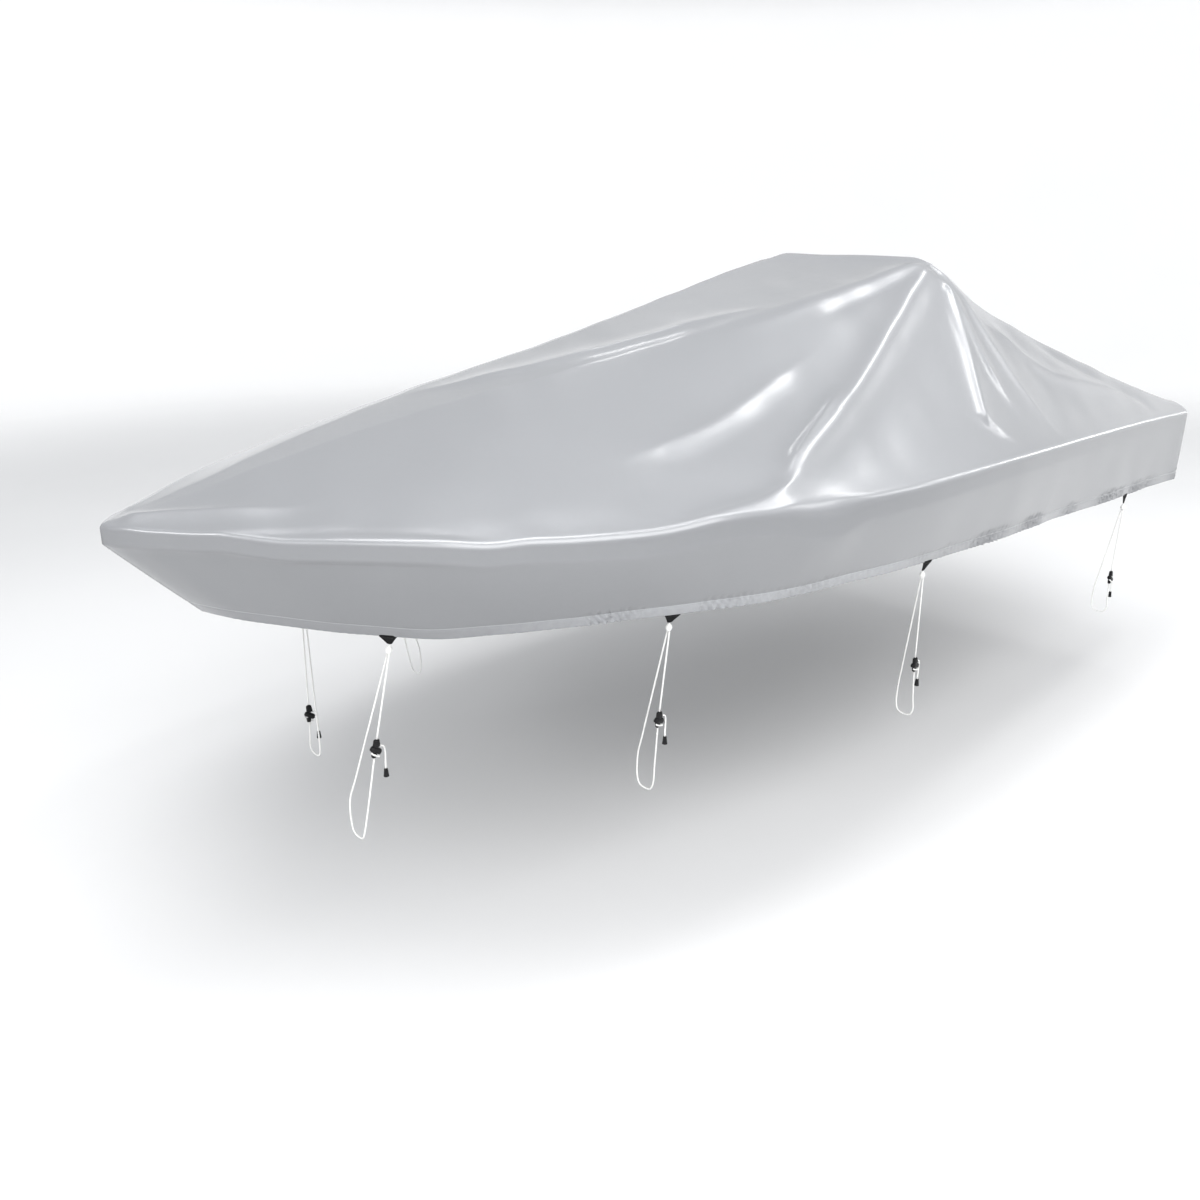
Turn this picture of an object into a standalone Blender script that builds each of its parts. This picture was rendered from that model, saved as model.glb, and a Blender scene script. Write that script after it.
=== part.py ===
"""Fitted cover for a 4.5 m open boat, with its eight tie-downs.

Metres, +X towards the bow, +Y to port, +Z up. The origin is under the ridge,
at the middle of the bar that holds the cover up. The hull, its windscreen and
its trailer are not part of the object.
"""

import math

import bmesh
import bpy
import numpy as np
from mathutils import Matrix, Vector

# ---------------------------------------------------------------- driving sizes

CLOTH = 0.002             # thickness of the cover's sheet
GAP = 0.0003              # clearance between pieces that touch

BOW_X = 2.92              # tip of the bow, ahead of the ridge
STERN_X = -1.61           # outside of the transom
CORNER_R = 0.085          # plan radius of the two stern corners
EDGE_R = 0.028            # roll of the cloth over the gunwale
RAKE = 0.205              # how far the hem lies aft of the bow's tip
RAKE_REACH = 1.60         # stretch behind the tip over which the rake fades
BAND = 0.038              # upright band just below the gunwale
BAND_STEP = 0.006         # how far the cloth steps in below that band
BAND_SOFT = 0.016         # half the height over which it does
HEM = 0.034               # height of the drawcord channel at the bottom
HEM_PINCH = 0.003         # depth of the stitched line above the channel
HEM_SOFT = 0.006          # half the height of that line
TUCK_BEND = 1.25          # above 1, the skirt leans in more towards its hem
WAVE_BEND = 1.5           # and its waves grow towards the hem
EDGE_TURNS = (45.0, 90.0)  # degrees of the gunwale's roll at its mesh rings

# The deck's mesh runs from its centre line out to a hip line along each side and
# on to the gunwale. Its columns fan out from the ridge's two ends, as the folds do.
SPINE_FORE = 2.80         # front end of the centre line
SPINE_AFT = -1.22         # and rear end
HIP_AFT = -1.38           # rear end of the hip line
HIP_LEAST = 0.035         # the hip line's smallest distance from the centre line
INNER_RINGS = (0.55, 1.0)
OUTER_RINGS = (0.07, 0.17, 0.28, 0.39, 0.50, 0.61, 0.72, 0.82, 0.92, 1.0)
SKIRT_RINGS = (0.13, 0.42, 0.70, 0.885, 0.945, 1.0)
HIP_MOST = 0.6            # the hip line's share of the half beam, where the bow is narrow
RIDGE_SNAP = 0.045        # columns that start this near the ridge start on it or beside it
RIDGE_SIDE = 0.030        # and this far from it

# For a place along the gunwale, where its column starts on the hip line.
FAN_COLUMNS = ("gunwale_x", "hip_x")
FAN = (
    (2.92, 2.80), (2.70, 2.46), (2.45, 1.90), (2.20, 1.30), (2.00, 0.80),
    (1.85, 0.42), (1.75, 0.16), (1.68, 0.00), (0.10, 0.00), (-0.20, -0.03),
    (-0.40, -0.12), (-0.65, -0.34), (-0.95, -0.70), (-1.25, -1.08), (-1.61, -1.38),
)

# One row for each cross-section, bow first. half_beam and edge_z place the
# gunwale, crown_z the middle of the deck, shoulder the half width of its flat
# top. fullness and hollow bend the slope between them, drop is the height of
# the skirt and tuck how far its hem leans in under the gunwale.
SECTION_COLUMNS = ("x", "half_beam", "edge_z", "crown_z", "shoulder",
                   "fullness", "hollow", "drop", "tuck")
SECTIONS = (
    (2.92, 0.000, -0.531, -0.529, 0.000, 1.34, 1.12, 0.266, 0.010),
    (2.90, 0.040, -0.532, -0.524, 0.003, 1.34, 1.12, 0.269, 0.016),
    (2.80, 0.155, -0.537, -0.505, 0.014, 1.34, 1.12, 0.283, 0.036),
    (2.62, 0.355, -0.545, -0.461, 0.035, 1.34, 1.12, 0.299, 0.068),
    (2.47, 0.504, -0.550, -0.427, 0.053, 1.34, 1.12, 0.304, 0.088),
    (2.32, 0.629, -0.554, -0.391, 0.072, 1.34, 1.12, 0.291, 0.102),
    (1.92, 0.845, -0.560, -0.319, 0.122, 1.34, 1.12, 0.277, 0.124),
    (1.42, 0.982, -0.563, -0.245, 0.185, 1.34, 1.12, 0.281, 0.114),
    (0.92, 1.024, -0.566, -0.162, 0.249, 1.32, 1.13, 0.290, 0.095),
    (0.42, 1.008, -0.576, -0.075, 0.313, 1.28, 1.16, 0.297, 0.077),
    (0.12, 0.984, -0.587, -0.021, 0.351, 1.22, 1.20, 0.301, 0.065),
    (0.03, 0.976, -0.591, -0.003, 0.363, 1.20, 1.22, 0.302, 0.062),
    (0.00, 0.973, -0.592, 0.002, 0.366, 1.20, 1.22, 0.303, 0.060),
    (-0.03, 0.970, -0.593, -0.016, 0.372, 1.18, 1.22, 0.303, 0.059),
    (-0.11, 0.962, -0.597, -0.072, 0.397, 1.15, 1.20, 0.304, 0.056),
    (-0.27, 0.946, -0.605, -0.176, 0.441, 1.15, 1.18, 0.305, 0.050),
    (-0.48, 0.925, -0.616, -0.269, 0.499, 1.15, 1.15, 0.306, 0.043),
    (-0.78, 0.895, -0.633, -0.387, 0.581, 1.15, 1.12, 0.308, 0.032),
    (-1.08, 0.866, -0.651, -0.498, 0.655, 1.15, 1.10, 0.309, 0.022),
    (-1.38, 0.838, -0.669, -0.593, 0.715, 1.15, 1.10, 0.310, 0.012),
    (-1.61, 0.820, -0.683, -0.652, 0.740, 1.15, 1.10, 0.310, 0.006),
)

# One row for each main fold of the deck, in plan: where it starts, bends and
# ends, its height above the smooth cloth (a trough is negative) and its half
# width. side is +1 for port and -1 for starboard, where y is mirrored.
FOLD_COLUMNS = ("name", "side", "x0", "y0", "x1", "y1", "x2", "y2",
                "height", "half_width")
FOLD_PLACES = 33          # places along a fold that a point of the deck is held against
FOLD_START = 0.10         # part of its length over which a fold rises
FOLD_END = 0.22           # and over which it dies away
EDGE_FADE = 0.12          # outer part of the deck over which folds sink into the gunwale
EDGE_KEEP = 0.25          # part of their height that is left there
FOLDS = (
    ("long roll to the gunwale", 1, 0.02, 0.395, 0.72, 0.620, 1.68, 0.925, 0.034, 0.055),
    ("hollow below the long roll", 1, 0.22, 0.600, 0.75, 0.800, 1.35, 0.935, -0.024, 0.090),
    ("hollow above the long roll", 1, 0.35, 0.390, 1.00, 0.590, 1.55, 0.760, -0.014, 0.080),
    ("forward fold", 1, 0.06, 0.370, 0.50, 0.320, 1.18, 0.250, 0.015, 0.045),
    ("forward groove", 1, 0.03, 0.420, 0.28, 0.415, 0.60, 0.385, -0.014, 0.035),
    ("middle fold", 1, 0.80, 0.490, 1.30, 0.570, 1.80, 0.550, 0.020, 0.055),
    ("centre fold", 1, 0.70, 0.190, 0.98, 0.140, 1.26, 0.095, 0.009, 0.045),
    ("side fold", 1, 0.04, 0.440, 0.27, 0.740, 0.44, 0.935, 0.022, 0.038),
    ("side crease", 1, 0.05, 0.500, 0.16, 0.700, 0.15, 0.880, 0.013, 0.030),
    ("quarter fold", 1, -0.18, 0.490, -0.36, 0.690, -1.12, 0.800, 0.020, 0.045),
    ("quarter groove", 1, -0.55, 0.560, -0.83, 0.690, -1.18, 0.750, -0.014, 0.035),
    ("bow fold", 1, 2.86, 0.020, 2.70, 0.140, 2.42, 0.230, 0.011, 0.035),
    ("bow groove", 1, 2.70, 0.220, 2.54, 0.370, 2.20, 0.640, -0.008, 0.030),
    ("long roll to the gunwale", -1, 0.02, 0.395, 0.66, 0.640, 1.50, 0.940, 0.030, 0.058),
    ("hollow below the long roll", -1, 0.20, 0.610, 0.70, 0.820, 1.20, 0.950, -0.020, 0.090),
    ("middle fold", -1, 0.90, 0.450, 1.35, 0.540, 1.95, 0.540, 0.016, 0.060),
    ("side fold", -1, 0.04, 0.440, 0.22, 0.740, 0.34, 0.935, 0.020, 0.040),
    ("quarter fold", -1, -0.16, 0.490, -0.42, 0.690, -1.05, 0.800, 0.018, 0.050),
    ("bow fold", -1, 2.86, 0.020, 2.66, 0.150, 2.30, 0.260, 0.010, 0.040),
)

# One row for each soft upright wave of the skirt: its place along the boat,
# its half width and how far it stands out at the hem.
WAVE_COLUMNS = ("side", "x", "half_width", "depth")
WAVES = (
    (1, 2.02, 0.16, -0.006), (1, 1.46, 0.14, 0.008), (1, 1.12, 0.12, -0.006),
    (1, 0.36, 0.16, 0.007), (1, -0.20, 0.14, -0.006), (1, -0.62, 0.12, 0.006),
    (1, -1.25, 0.12, -0.005), (-1, 2.00, 0.15, 0.006), (-1, 1.30, 0.16, -0.008),
    (-1, 0.42, 0.14, 0.006), (-1, -0.12, 0.15, -0.007), (-1, -0.58, 0.13, 0.006),
    (-1, -1.22, 0.12, -0.004),
)

# Tie-downs. station is the place along the gunwale above the tab, the rail
# columns are the bottom corner of the trailer rail that the line is pulled
# around, on its outer side, and lock is how far down the line the cord lock sits.
TIE_COLUMNS = ("name", "side", "station", "rail_x", "rail_y", "rail_z", "lock")
TIES = (
    ("port_1", 1, 2.565, 2.455, 0.275, -1.440, 0.515),
    ("port_2", 1, 1.825, 1.690, 0.620, -1.440, 0.550),
    ("port_3", 1, 0.79, 0.680, 0.865, -1.440, 0.630),
    ("port_4", 1, -0.90, -0.800, 0.885, -1.430, 0.680),
    ("starboard_1", -1, 2.310, 2.300, 0.290, -1.440, 0.820),
    ("starboard_2", -1, 1.795, 1.700, 0.620, -1.440, 0.570),
    ("starboard_3", -1, 0.79, 0.690, 0.865, -1.440, 0.610),
    ("starboard_4", -1, -0.90, -0.810, 0.885, -1.430, 0.660),
)
TAB_TOP = 0.050           # width of the webbing tab at the hem
TAB_TIP = 0.016           # and at its lower end
TAB_HEIGHT = 0.036
TAB_THICK = 0.002
TAB_CORNER = 0.003        # cut off each lower corner
TAB_SHOULDER = (0.004, 0.006)  # in and down, where its sewn top edge ends
KNOT_LENGTH = 0.024
KNOT_SEAT = 0.0010        # from the tab's slanted end to the knot
KNOT_COLUMNS = ("radius", "down")
KNOT = ((0.0012, 0.0), (0.0060, 0.0060), (0.0095, 0.0125), (0.0090, 0.0185),
        (0.0066, KNOT_LENGTH))
KNOT_SIDES = 8
CORD_R = 0.0025
CORD_SEAT = 0.0006        # from the knot's flat end to where its two cords begin
CORD_APART = 0.0034       # each cord's distance from the knot's axis
RAIL_WIDTH = 0.050        # the absent rail that the lines keep their shape around
RAIL_HEIGHT = 0.090
RAIL_CLEAR = 0.004        # from the rail to the line's surface
RAIL_BEND = 0.012         # the line's bend around a corner of the rail
LOCK_SLOT = 0.0275        # from the lock's middle to where each cord enters it
LOCK_BEVEL = 0.0035

# The lock's three lobes, in its own directions: aft, and up along the line. tilt is in
# degrees and turns a lobe's after end down.
LOBE_COLUMNS = ("aft", "up", "length", "width", "height", "tilt")
LOBES = (
    (0.001, 0.0155, 0.0210, 0.0150, 0.0235, -8.0),
    (0.002, -0.0050, 0.0350, 0.0170, 0.0170, 24.0),
    (-0.002, -0.0200, 0.0095, 0.0090, 0.0150, 0.0),
)
TAIL_EXIT = 0.0126        # where the free tail leaves the lock's after side
TAIL_EXIT_UP = 0.0056
TAIL_COLUMNS = ("aft", "drop")
TAIL = ((0.0, 0.0), (0.006, 0.0), (0.012, 0.005), (0.015, 0.020), (0.014, 0.045), (0.0136, 0.070))
TOGGLE_TOP_R = 0.0052
TOGGLE_BASE_R = 0.0076
TOGGLE_LENGTH = 0.024
TOGGLE_SIDES = 10

# Spacing of the mesh's columns along the gunwale, behind each place.
STEP_COLUMNS = ("from_x", "step")
STEPS = ((2.63, 0.085), (2.30, 0.068), (1.58, 0.090), (1.00, 0.100), (0.62, 0.075),
         (-0.30, 0.100), (-0.90, 0.115))
BOW_STATIONS = (2.912, 2.90, 2.865, 2.80, 2.72)
FOOT_STATION = 1.68       # where the long roll meets the gunwale
LEAST_STEP = 0.026        # a column nearer than this to a fixed one is left out
CORNER_CLEAR = 0.03       # from the last station to the stern corner's round
TRANSOM_STEPS = 7
CORNER_STEPS = 3


# ------------------------------------------------------------------ small tools

def rows(columns, table):
    return [dict(zip(columns, row)) for row in table]


def material(name, colour, roughness, metallic=0.0):
    made = bpy.data.materials.new(name)
    made.use_nodes = True
    shader = made.node_tree.nodes["Principled BSDF"]
    shader.inputs["Base Color"].default_value = (*colour, 1.0)
    shader.inputs["Roughness"].default_value = roughness
    shader.inputs["Metallic"].default_value = metallic
    return made


def add_object(name, data, collection, surface):
    made = bpy.data.objects.new(name, data)
    data.materials.append(surface)
    collection.objects.link(made)
    return made


def smooth_column(x, xs, ys):
    """Monotone cubic through (xs, ys), xs rising, so a table row is never overshot."""
    width = np.diff(xs)
    slope = np.diff(ys) / width
    tangent = np.zeros_like(ys)
    tangent[0], tangent[-1] = slope[0], slope[-1]
    for i in range(1, len(xs) - 1):
        before, after = slope[i - 1], slope[i]
        if before * after > 0.0:
            a = 2.0 * width[i] + width[i - 1]
            b = width[i] + 2.0 * width[i - 1]
            tangent[i] = (a + b) / (a / before + b / after)
    i = np.clip(np.searchsorted(xs, x) - 1, 0, len(xs) - 2)
    u = np.clip((x - xs[i]) / width[i], 0.0, 1.0)
    return ((1 + 2 * u) * (1 - u) ** 2 * ys[i] + u * (1 - u) ** 2 * width[i] * tangent[i]
            + u * u * (3 - 2 * u) * ys[i + 1] + u * u * (u - 1) * width[i] * tangent[i + 1])


SECTION_TABLE = np.array(SECTIONS)[::-1]


def section(x, column):
    """Value of one column of SECTIONS at a place along the boat."""
    xs = SECTION_TABLE[:, 0]
    ys = SECTION_TABLE[:, SECTION_COLUMNS.index(column)]
    return float(smooth_column(np.clip(x, STERN_X, BOW_X), xs, ys))


def bell(distance, half_width):
    return math.exp(-(distance / half_width) ** 2)


def fold_height(x, y):
    """Sum of all folds at a place of the deck, each dying away at its two ends."""
    total = 0.0
    steps = np.linspace(0.0, 1.0, FOLD_PLACES)
    start, bend, end = ((1 - steps) ** 2, 2 * steps * (1 - steps), steps ** 2)
    for fold in rows(FOLD_COLUMNS, FOLDS):
        line_x = start * fold["x0"] + bend * fold["x1"] + end * fold["x2"]
        line_y = start * fold["y0"] + bend * fold["y1"] + end * fold["y2"]
        apart = np.hypot(line_x - x, line_y - y * fold["side"])
        nearest = int(apart.argmin())
        along = steps[nearest]
        fade = min(1.0, along / FOLD_START, (1.0 - along) / FOLD_END)
        total += fold["height"] * fade * bell(apart[nearest], fold["half_width"])
    return total


def deck_point(x, y):
    """Outer face of the deck: straight section, then its folds."""
    beam, flat = section(x, "half_beam"), section(x, "shoulder")
    low, high = section(x, "edge_z"), section(x, "crown_z")
    across = min(max((abs(y) - flat) / max(beam - flat, EDGE_R / 2), 0.0), 1.0)
    rise = (1.0 - across ** section(x, "fullness")) ** section(x, "hollow")
    edge_fade = min(1.0, (1.0 - across) / EDGE_FADE + EDGE_KEEP)
    return Vector((x, y, low + (high - low) * rise + fold_height(x, y) * edge_fade))


# ------------------------------------------------------- outline seen from above

def side_stations():
    """Places along one side, bow to stern corner, with a pair at each tab's edges."""
    tabs = sorted({tie["station"] for tie in rows(TIE_COLUMNS, TIES)}, reverse=True)
    fixed = [x + half for x in tabs for half in (TAB_TOP / 2, -TAB_TOP / 2)] + [FOOT_STATION]
    steps = rows(STEP_COLUMNS, STEPS)
    stations = list(BOW_STATIONS)
    x = steps[0]["from_x"]
    while x > STERN_X + CORNER_R + CORNER_CLEAR:
        stations.append(x)
        x -= [row["step"] for row in steps if row["from_x"] >= x][-1]
    kept = [x for x in stations if all(abs(x - near) > LEAST_STEP for near in fixed + tabs)]
    return sorted(kept + fixed, reverse=True)


def port_outline():
    """(x, y) of the gunwale from the bow's tip round to the middle of the transom."""
    points = [(BOW_X, 0.0)]
    points += [(x, section(x, "half_beam")) for x in side_stations()]
    corner_y = section(STERN_X + CORNER_R, "half_beam") - CORNER_R
    for i in range(CORNER_STEPS + 1):
        turn = math.pi / 2 * i / CORNER_STEPS
        points.append((STERN_X + CORNER_R - CORNER_R * math.sin(turn),
                       corner_y + CORNER_R * math.cos(turn)))
    points += [(STERN_X, corner_y * (1 - i / TRANSOM_STEPS))
               for i in range(1, TRANSOM_STEPS + 1)]
    return points


def closed_outline():
    """The whole gunwale as columns: plan place, outward normal and side."""
    port = port_outline()
    starboard = [(x, -y) for x, y in port[1:-1]][::-1]
    points = [Vector(p) for p in port + starboard]
    columns = []
    for i, here in enumerate(points):
        before, after = points[i - 1], points[(i + 1) % len(points)]
        along = ((here - before).normalized() + (after - here).normalized()).normalized()
        outward = Vector((along.y, -along.x))
        columns.append((here, outward, 1 if i < len(port) else -1))
    return columns


# -------------------------------------------------------------------- the cover

def wave_depth(x, side):
    return sum(wave["depth"] * bell(x - wave["x"], wave["half_width"])
               for wave in rows(WAVE_COLUMNS, WAVES) if wave["side"] == side)


def skirt_point(column, down):
    """A place on the skirt: down is 0 under the gunwale's roll and 1 at the hem."""
    here, outward, side = column
    inner = here - outward * EDGE_R
    top = deck_point(inner.x, inner.y).z - EDGE_R
    bottom = section(here.x, "edge_z") - section(here.x, "drop")
    height = top - bottom
    lean = section(here.x, "tuck") * down ** TUCK_BEND
    lean += BAND_STEP * bell(down * height - BAND, BAND_SOFT)
    lean += HEM_PINCH * bell((1.0 - down) * height - HEM, HEM_SOFT)
    lean -= wave_depth(here.x, side) * down ** WAVE_BEND
    shift = RAKE * max(0.0, 1.0 - (BOW_X - here.x) / RAKE_REACH) ** 2 * down
    return Vector((here.x - outward.x * lean - shift, here.y - outward.y * lean,
                   top - height * down))


def hip_point(column):
    """Where a column of the mesh crosses the hip line, and where it starts."""
    here, _, side = column
    if here.x < STERN_X + CORNER_R:
        widest = section(STERN_X + CORNER_R, "half_beam")
        spread = here.y / widest * min(section(HIP_AFT, "shoulder"), HIP_MOST * widest)
        return Vector((HIP_AFT, spread)), Vector((SPINE_AFT, 0.0))
    fan = rows(FAN_COLUMNS, FAN[::-1])
    hip_x = float(np.interp(here.x, [row["gunwale_x"] for row in fan],
                            [row["hip_x"] for row in fan]))
    if abs(hip_x) < RIDGE_SNAP:
        hip_x = RIDGE_SIDE * round(hip_x / RIDGE_SIDE)
    hip_y = min(max(section(hip_x, "shoulder"), HIP_LEAST), HIP_MOST * abs(here.y)) * side
    spine_x = min(max(hip_x, SPINE_AFT), SPINE_FORE)
    return Vector((hip_x, hip_y)), Vector((spine_x, 0.0))


def column_points(column):
    """Outer face of one column, from the centre line over the gunwale to the hem."""
    here, outward, _ = column
    hip, spine = hip_point(column)
    inner = here - outward * EDGE_R
    points = [deck_point(spine.x, spine.y)]
    points += [deck_point(*spine.lerp(hip, part)) for part in INNER_RINGS]
    points += [deck_point(*hip.lerp(inner, part)) for part in OUTER_RINGS]
    top = points[-1].z
    for turn in map(math.radians, EDGE_TURNS):
        edge = inner + outward * EDGE_R * math.sin(turn)
        points.append(Vector((edge.x, edge.y, top - EDGE_R * (1 - math.cos(turn)))))
    return points + [skirt_point(column, down) for down in SKIRT_RINGS]


def make_cover(collection, surface):
    mesh = bmesh.new()
    shared = {}
    grid = []
    for column in closed_outline():
        line = []
        for point in column_points(column):
            key = tuple(round(value, 5) for value in point)
            if key not in shared:
                shared[key] = mesh.verts.new(point)
            line.append(shared[key])
        grid.append(line)
    for i, line in enumerate(grid):
        following = grid[(i + 1) % len(grid)]
        for ring in range(len(line) - 1):
            corners = [line[ring], line[ring + 1], following[ring + 1], following[ring]]
            corners = [v for n, v in enumerate(corners) if v not in corners[:n]]
            if len(corners) > 2:
                mesh.faces.new(corners)
    bmesh.ops.recalc_face_normals(mesh, faces=mesh.faces[:])
    data = bpy.data.meshes.new("cover_cloth")
    mesh.to_mesh(data)
    mesh.free()
    data.shade_smooth()
    cover = add_object("cover_cloth", data, collection, surface)
    sheet = cover.modifiers.new("sheet", "SOLIDIFY")
    sheet.thickness = CLOTH
    sheet.offset = -1.0
    return cover


# -------------------------------------------------------------------- tie-downs

def tie_frame(tie):
    """Hem edge at the tab, with the directions down the skirt and outward."""
    columns = closed_outline()
    edges = []
    for x in (tie["station"] + TAB_TOP / 2, tie["station"] - TAB_TOP / 2):
        column = min((c for c in columns if c[2] == tie["side"]),
                     key=lambda c: abs(c[0].x - x))
        edges.append((skirt_point(column, 1.0), skirt_point(column, SKIRT_RINGS[-2])))
    fore, aft = edges[0][0], edges[1][0]
    along = (fore - aft).normalized()
    down = ((fore - edges[0][1]) + (aft - edges[1][1])).normalized()
    down = (down - along * down.dot(along)).normalized()
    outward = along.cross(down) * tie["side"]
    return (fore + aft) / 2, along, down, outward


def make_tab(name, tie, collection, surface):
    """Webbing triangle sewn to the hem, hanging point down, in the cloth's plane."""
    middle, along, down, outward = tie_frame(tie)
    top = middle + down * GAP
    mesh = bmesh.new()
    inset, shoulder = TAB_SHOULDER
    half = ((TAB_TOP / 2, 0.0), (TAB_TOP / 2 - inset, shoulder),
            (TAB_TIP / 2, TAB_HEIGHT - TAB_CORNER), (TAB_TIP / 2 - TAB_CORNER, TAB_HEIGHT))
    outline = half + tuple((-a, d) for a, d in reversed(half))
    face = mesh.faces.new([mesh.verts.new(top + along * a + down * d) for a, d in outline])
    raised = bmesh.ops.extrude_face_region(mesh, geom=[face])
    for item in raised["geom"]:
        if isinstance(item, bmesh.types.BMVert):
            item.co -= outward * TAB_THICK
    bmesh.ops.recalc_face_normals(mesh, faces=mesh.faces[:])
    data = bpy.data.meshes.new(name)
    mesh.to_mesh(data)
    mesh.free()
    return add_object(name, data, collection, surface)


def tie_points(tie):
    """Main places of one tie-down, from the tab down around the rail."""
    middle, along, down, outward = tie_frame(tie)
    side = tie["side"]
    tip = middle + down * (GAP + TAB_HEIGHT) - outward * TAB_THICK / 2
    rail = Vector((tie["rail_x"], tie["rail_y"] * side, tie["rail_z"]))
    pull = (rail - tip).normalized()
    knot = tip + pull * (KNOT_SEAT + KNOT_LENGTH / 2)
    lock = knot.lerp(rail, tie["lock"])
    outward = Vector((0.0, side, 0.0))
    across = (outward - pull * outward.dot(pull)).normalized()
    aft = Vector((-1.0, 0.0, 0.0))
    aft = (aft - pull * aft.dot(pull)).normalized()
    return {"tip": tip, "knot": knot, "lock": lock, "rail": rail, "pull": pull,
            "outward": outward, "across": across, "aft": aft,
            "out": pull.cross(aft).normalized() * side}


def make_knot(name, at, collection, surface):
    """Pear-shaped knot, narrow at the tab and flat where its two cords leave."""
    mesh = bmesh.new()
    top = at["knot"] - at["pull"] * (KNOT_LENGTH / 2)
    beside = at["pull"].cross(at["across"])
    turns = [2 * math.pi * (i + 0.5) / KNOT_SIDES for i in range(KNOT_SIDES)]
    round_way = [at["across"] * math.cos(t) + beside * math.sin(t) for t in turns]
    rings = [[mesh.verts.new(top + at["pull"] * ring["down"] + way * ring["radius"])
              for way in round_way] for ring in rows(KNOT_COLUMNS, KNOT)]
    for upper, lower in zip(rings, rings[1:]):
        for i in range(KNOT_SIDES):
            j = (i + 1) % KNOT_SIDES
            mesh.faces.new((upper[i], upper[j], lower[j], lower[i]))
    mesh.faces.new(rings[0])
    mesh.faces.new(rings[-1])
    bmesh.ops.recalc_face_normals(mesh, faces=mesh.faces[:])
    data = bpy.data.meshes.new(name)
    mesh.to_mesh(data)
    mesh.free()
    data.shade_smooth()
    return add_object(name, data, collection, surface)


def through(points, per_span):
    """Places on a smooth curve through a route's own points, closer where they are."""
    knots = [Vector(p) for p in points]
    knots = [knots[0] * 2 - knots[1]] + knots + [knots[-1] * 2 - knots[-2]]
    places = []
    for a, b, c, d in zip(knots, knots[1:], knots[2:], knots[3:]):
        tb = (b - a).length ** 0.5
        tc = tb + (c - b).length ** 0.5
        td = tc + (d - c).length ** 0.5
        for i in range(per_span):
            t = tb + (tc - tb) * i / per_span
            ab = a * ((tb - t) / tb) + b * (t / tb)
            bc = b * ((tc - t) / (tc - tb)) + c * ((t - tb) / (tc - tb))
            cd = c * ((td - t) / (td - tc)) + d * ((t - tc) / (td - tc))
            abc = ab * ((tc - t) / tc) + bc * (t / tc)
            bcd = bc * ((td - t) / (td - tb)) + cd * ((t - tb) / (td - tb))
            places.append(abc * ((tc - t) / (tc - tb)) + bcd * ((t - tb) / (tc - tb)))
    return places + [knots[-2]]


def make_cord(name, points, per_span, collection, surface):
    curve = bpy.data.curves.new(name, "CURVE")
    curve.dimensions = "3D"
    curve.bevel_depth = CORD_R
    curve.bevel_resolution = 2
    curve.use_fill_caps = True
    spline = curve.splines.new("POLY")
    route = through(points, per_span)
    spline.points.add(len(route) - 1)
    for point, place in zip(spline.points, route):
        point.co = (*place, 1.0)
    return add_object(name, curve, collection, surface)


def line_route(at):
    """Long line: knot, down behind the rail, under it and up to the lock."""
    start = at["knot"] + at["pull"] * (KNOT_LENGTH / 2 + CORD_SEAT) - at["across"] * CORD_APART
    away = at["outward"] * (CORD_R + RAIL_CLEAR)
    outer = at["rail"] + away
    inner = at["rail"] - at["outward"] * RAIL_WIDTH - away
    inner_top = inner + Vector((0.0, 0.0, RAIL_HEIGHT))
    under = Vector((0.0, 0.0, -away.length))
    bend = Vector((0.0, 0.0, RAIL_BEND))
    end = at["lock"] + at["pull"] * (LOCK_SLOT + GAP)
    return (start, start.lerp(inner_top, 0.5), start.lerp(inner_top, 0.85), inner_top,
            inner + bend, inner + under + at["outward"] * RAIL_BEND,
            outer + under - at["outward"] * RAIL_BEND, outer + bend,
            outer.lerp(end, 0.4), end)


def fall_route(at):
    """Short line: knot to the top of the lock."""
    start = at["knot"] + at["pull"] * (KNOT_LENGTH / 2 + CORD_SEAT) + at["across"] * CORD_APART
    end = at["lock"] - at["pull"] * (LOCK_SLOT + GAP)
    return (start, start.lerp(end, 0.33), start.lerp(end, 0.67), end)


def tail_route(at):
    """Free tail: out of the lock's after side, over and down to its toggle."""
    start = at["lock"] + at["aft"] * TAIL_EXIT - at["pull"] * TAIL_EXIT_UP
    return [start + at["aft"] * place["aft"] - Vector((0.0, 0.0, place["drop"]))
            for place in rows(TAIL_COLUMNS, TAIL)]


def make_lock(name, at, collection, surface):
    """Cord lock: an upper lobe and a slanted lower one, with a small nub below."""
    mesh = bmesh.new()
    turn = Matrix((at["aft"], at["out"], -at["pull"])).transposed().to_4x4()
    for lobe in rows(LOBE_COLUMNS, LOBES):
        verts = bmesh.ops.create_cube(mesh, size=1.0)["verts"]
        shape = (Matrix.Translation((lobe["aft"], 0.0, lobe["up"]))
                 @ Matrix.Rotation(math.radians(lobe["tilt"]), 4, "Y")
                 @ Matrix.Diagonal((lobe["length"], lobe["width"], lobe["height"], 1.0)))
        bmesh.ops.transform(mesh, matrix=shape, verts=verts)
        rims = list({edge for v in verts for edge in v.link_edges})
        bmesh.ops.bevel(mesh, geom=rims, offset=LOCK_BEVEL, segments=1, affect="EDGES")
    bmesh.ops.transform(mesh, matrix=Matrix.Translation(at["lock"]) @ turn, verts=mesh.verts[:])
    bmesh.ops.recalc_face_normals(mesh, faces=mesh.faces[:])
    data = bpy.data.meshes.new(name)
    mesh.to_mesh(data)
    mesh.free()
    lock = add_object(name, data, collection, surface)
    joined = lock.modifiers.new("one body", "BOOLEAN")
    joined.operation = "UNION"
    joined.operand_type = "COLLECTION"
    joined.use_self = True
    joined.solver = "EXACT"
    joined.collection = bpy.data.collections["no_cutters"]
    return lock


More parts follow.
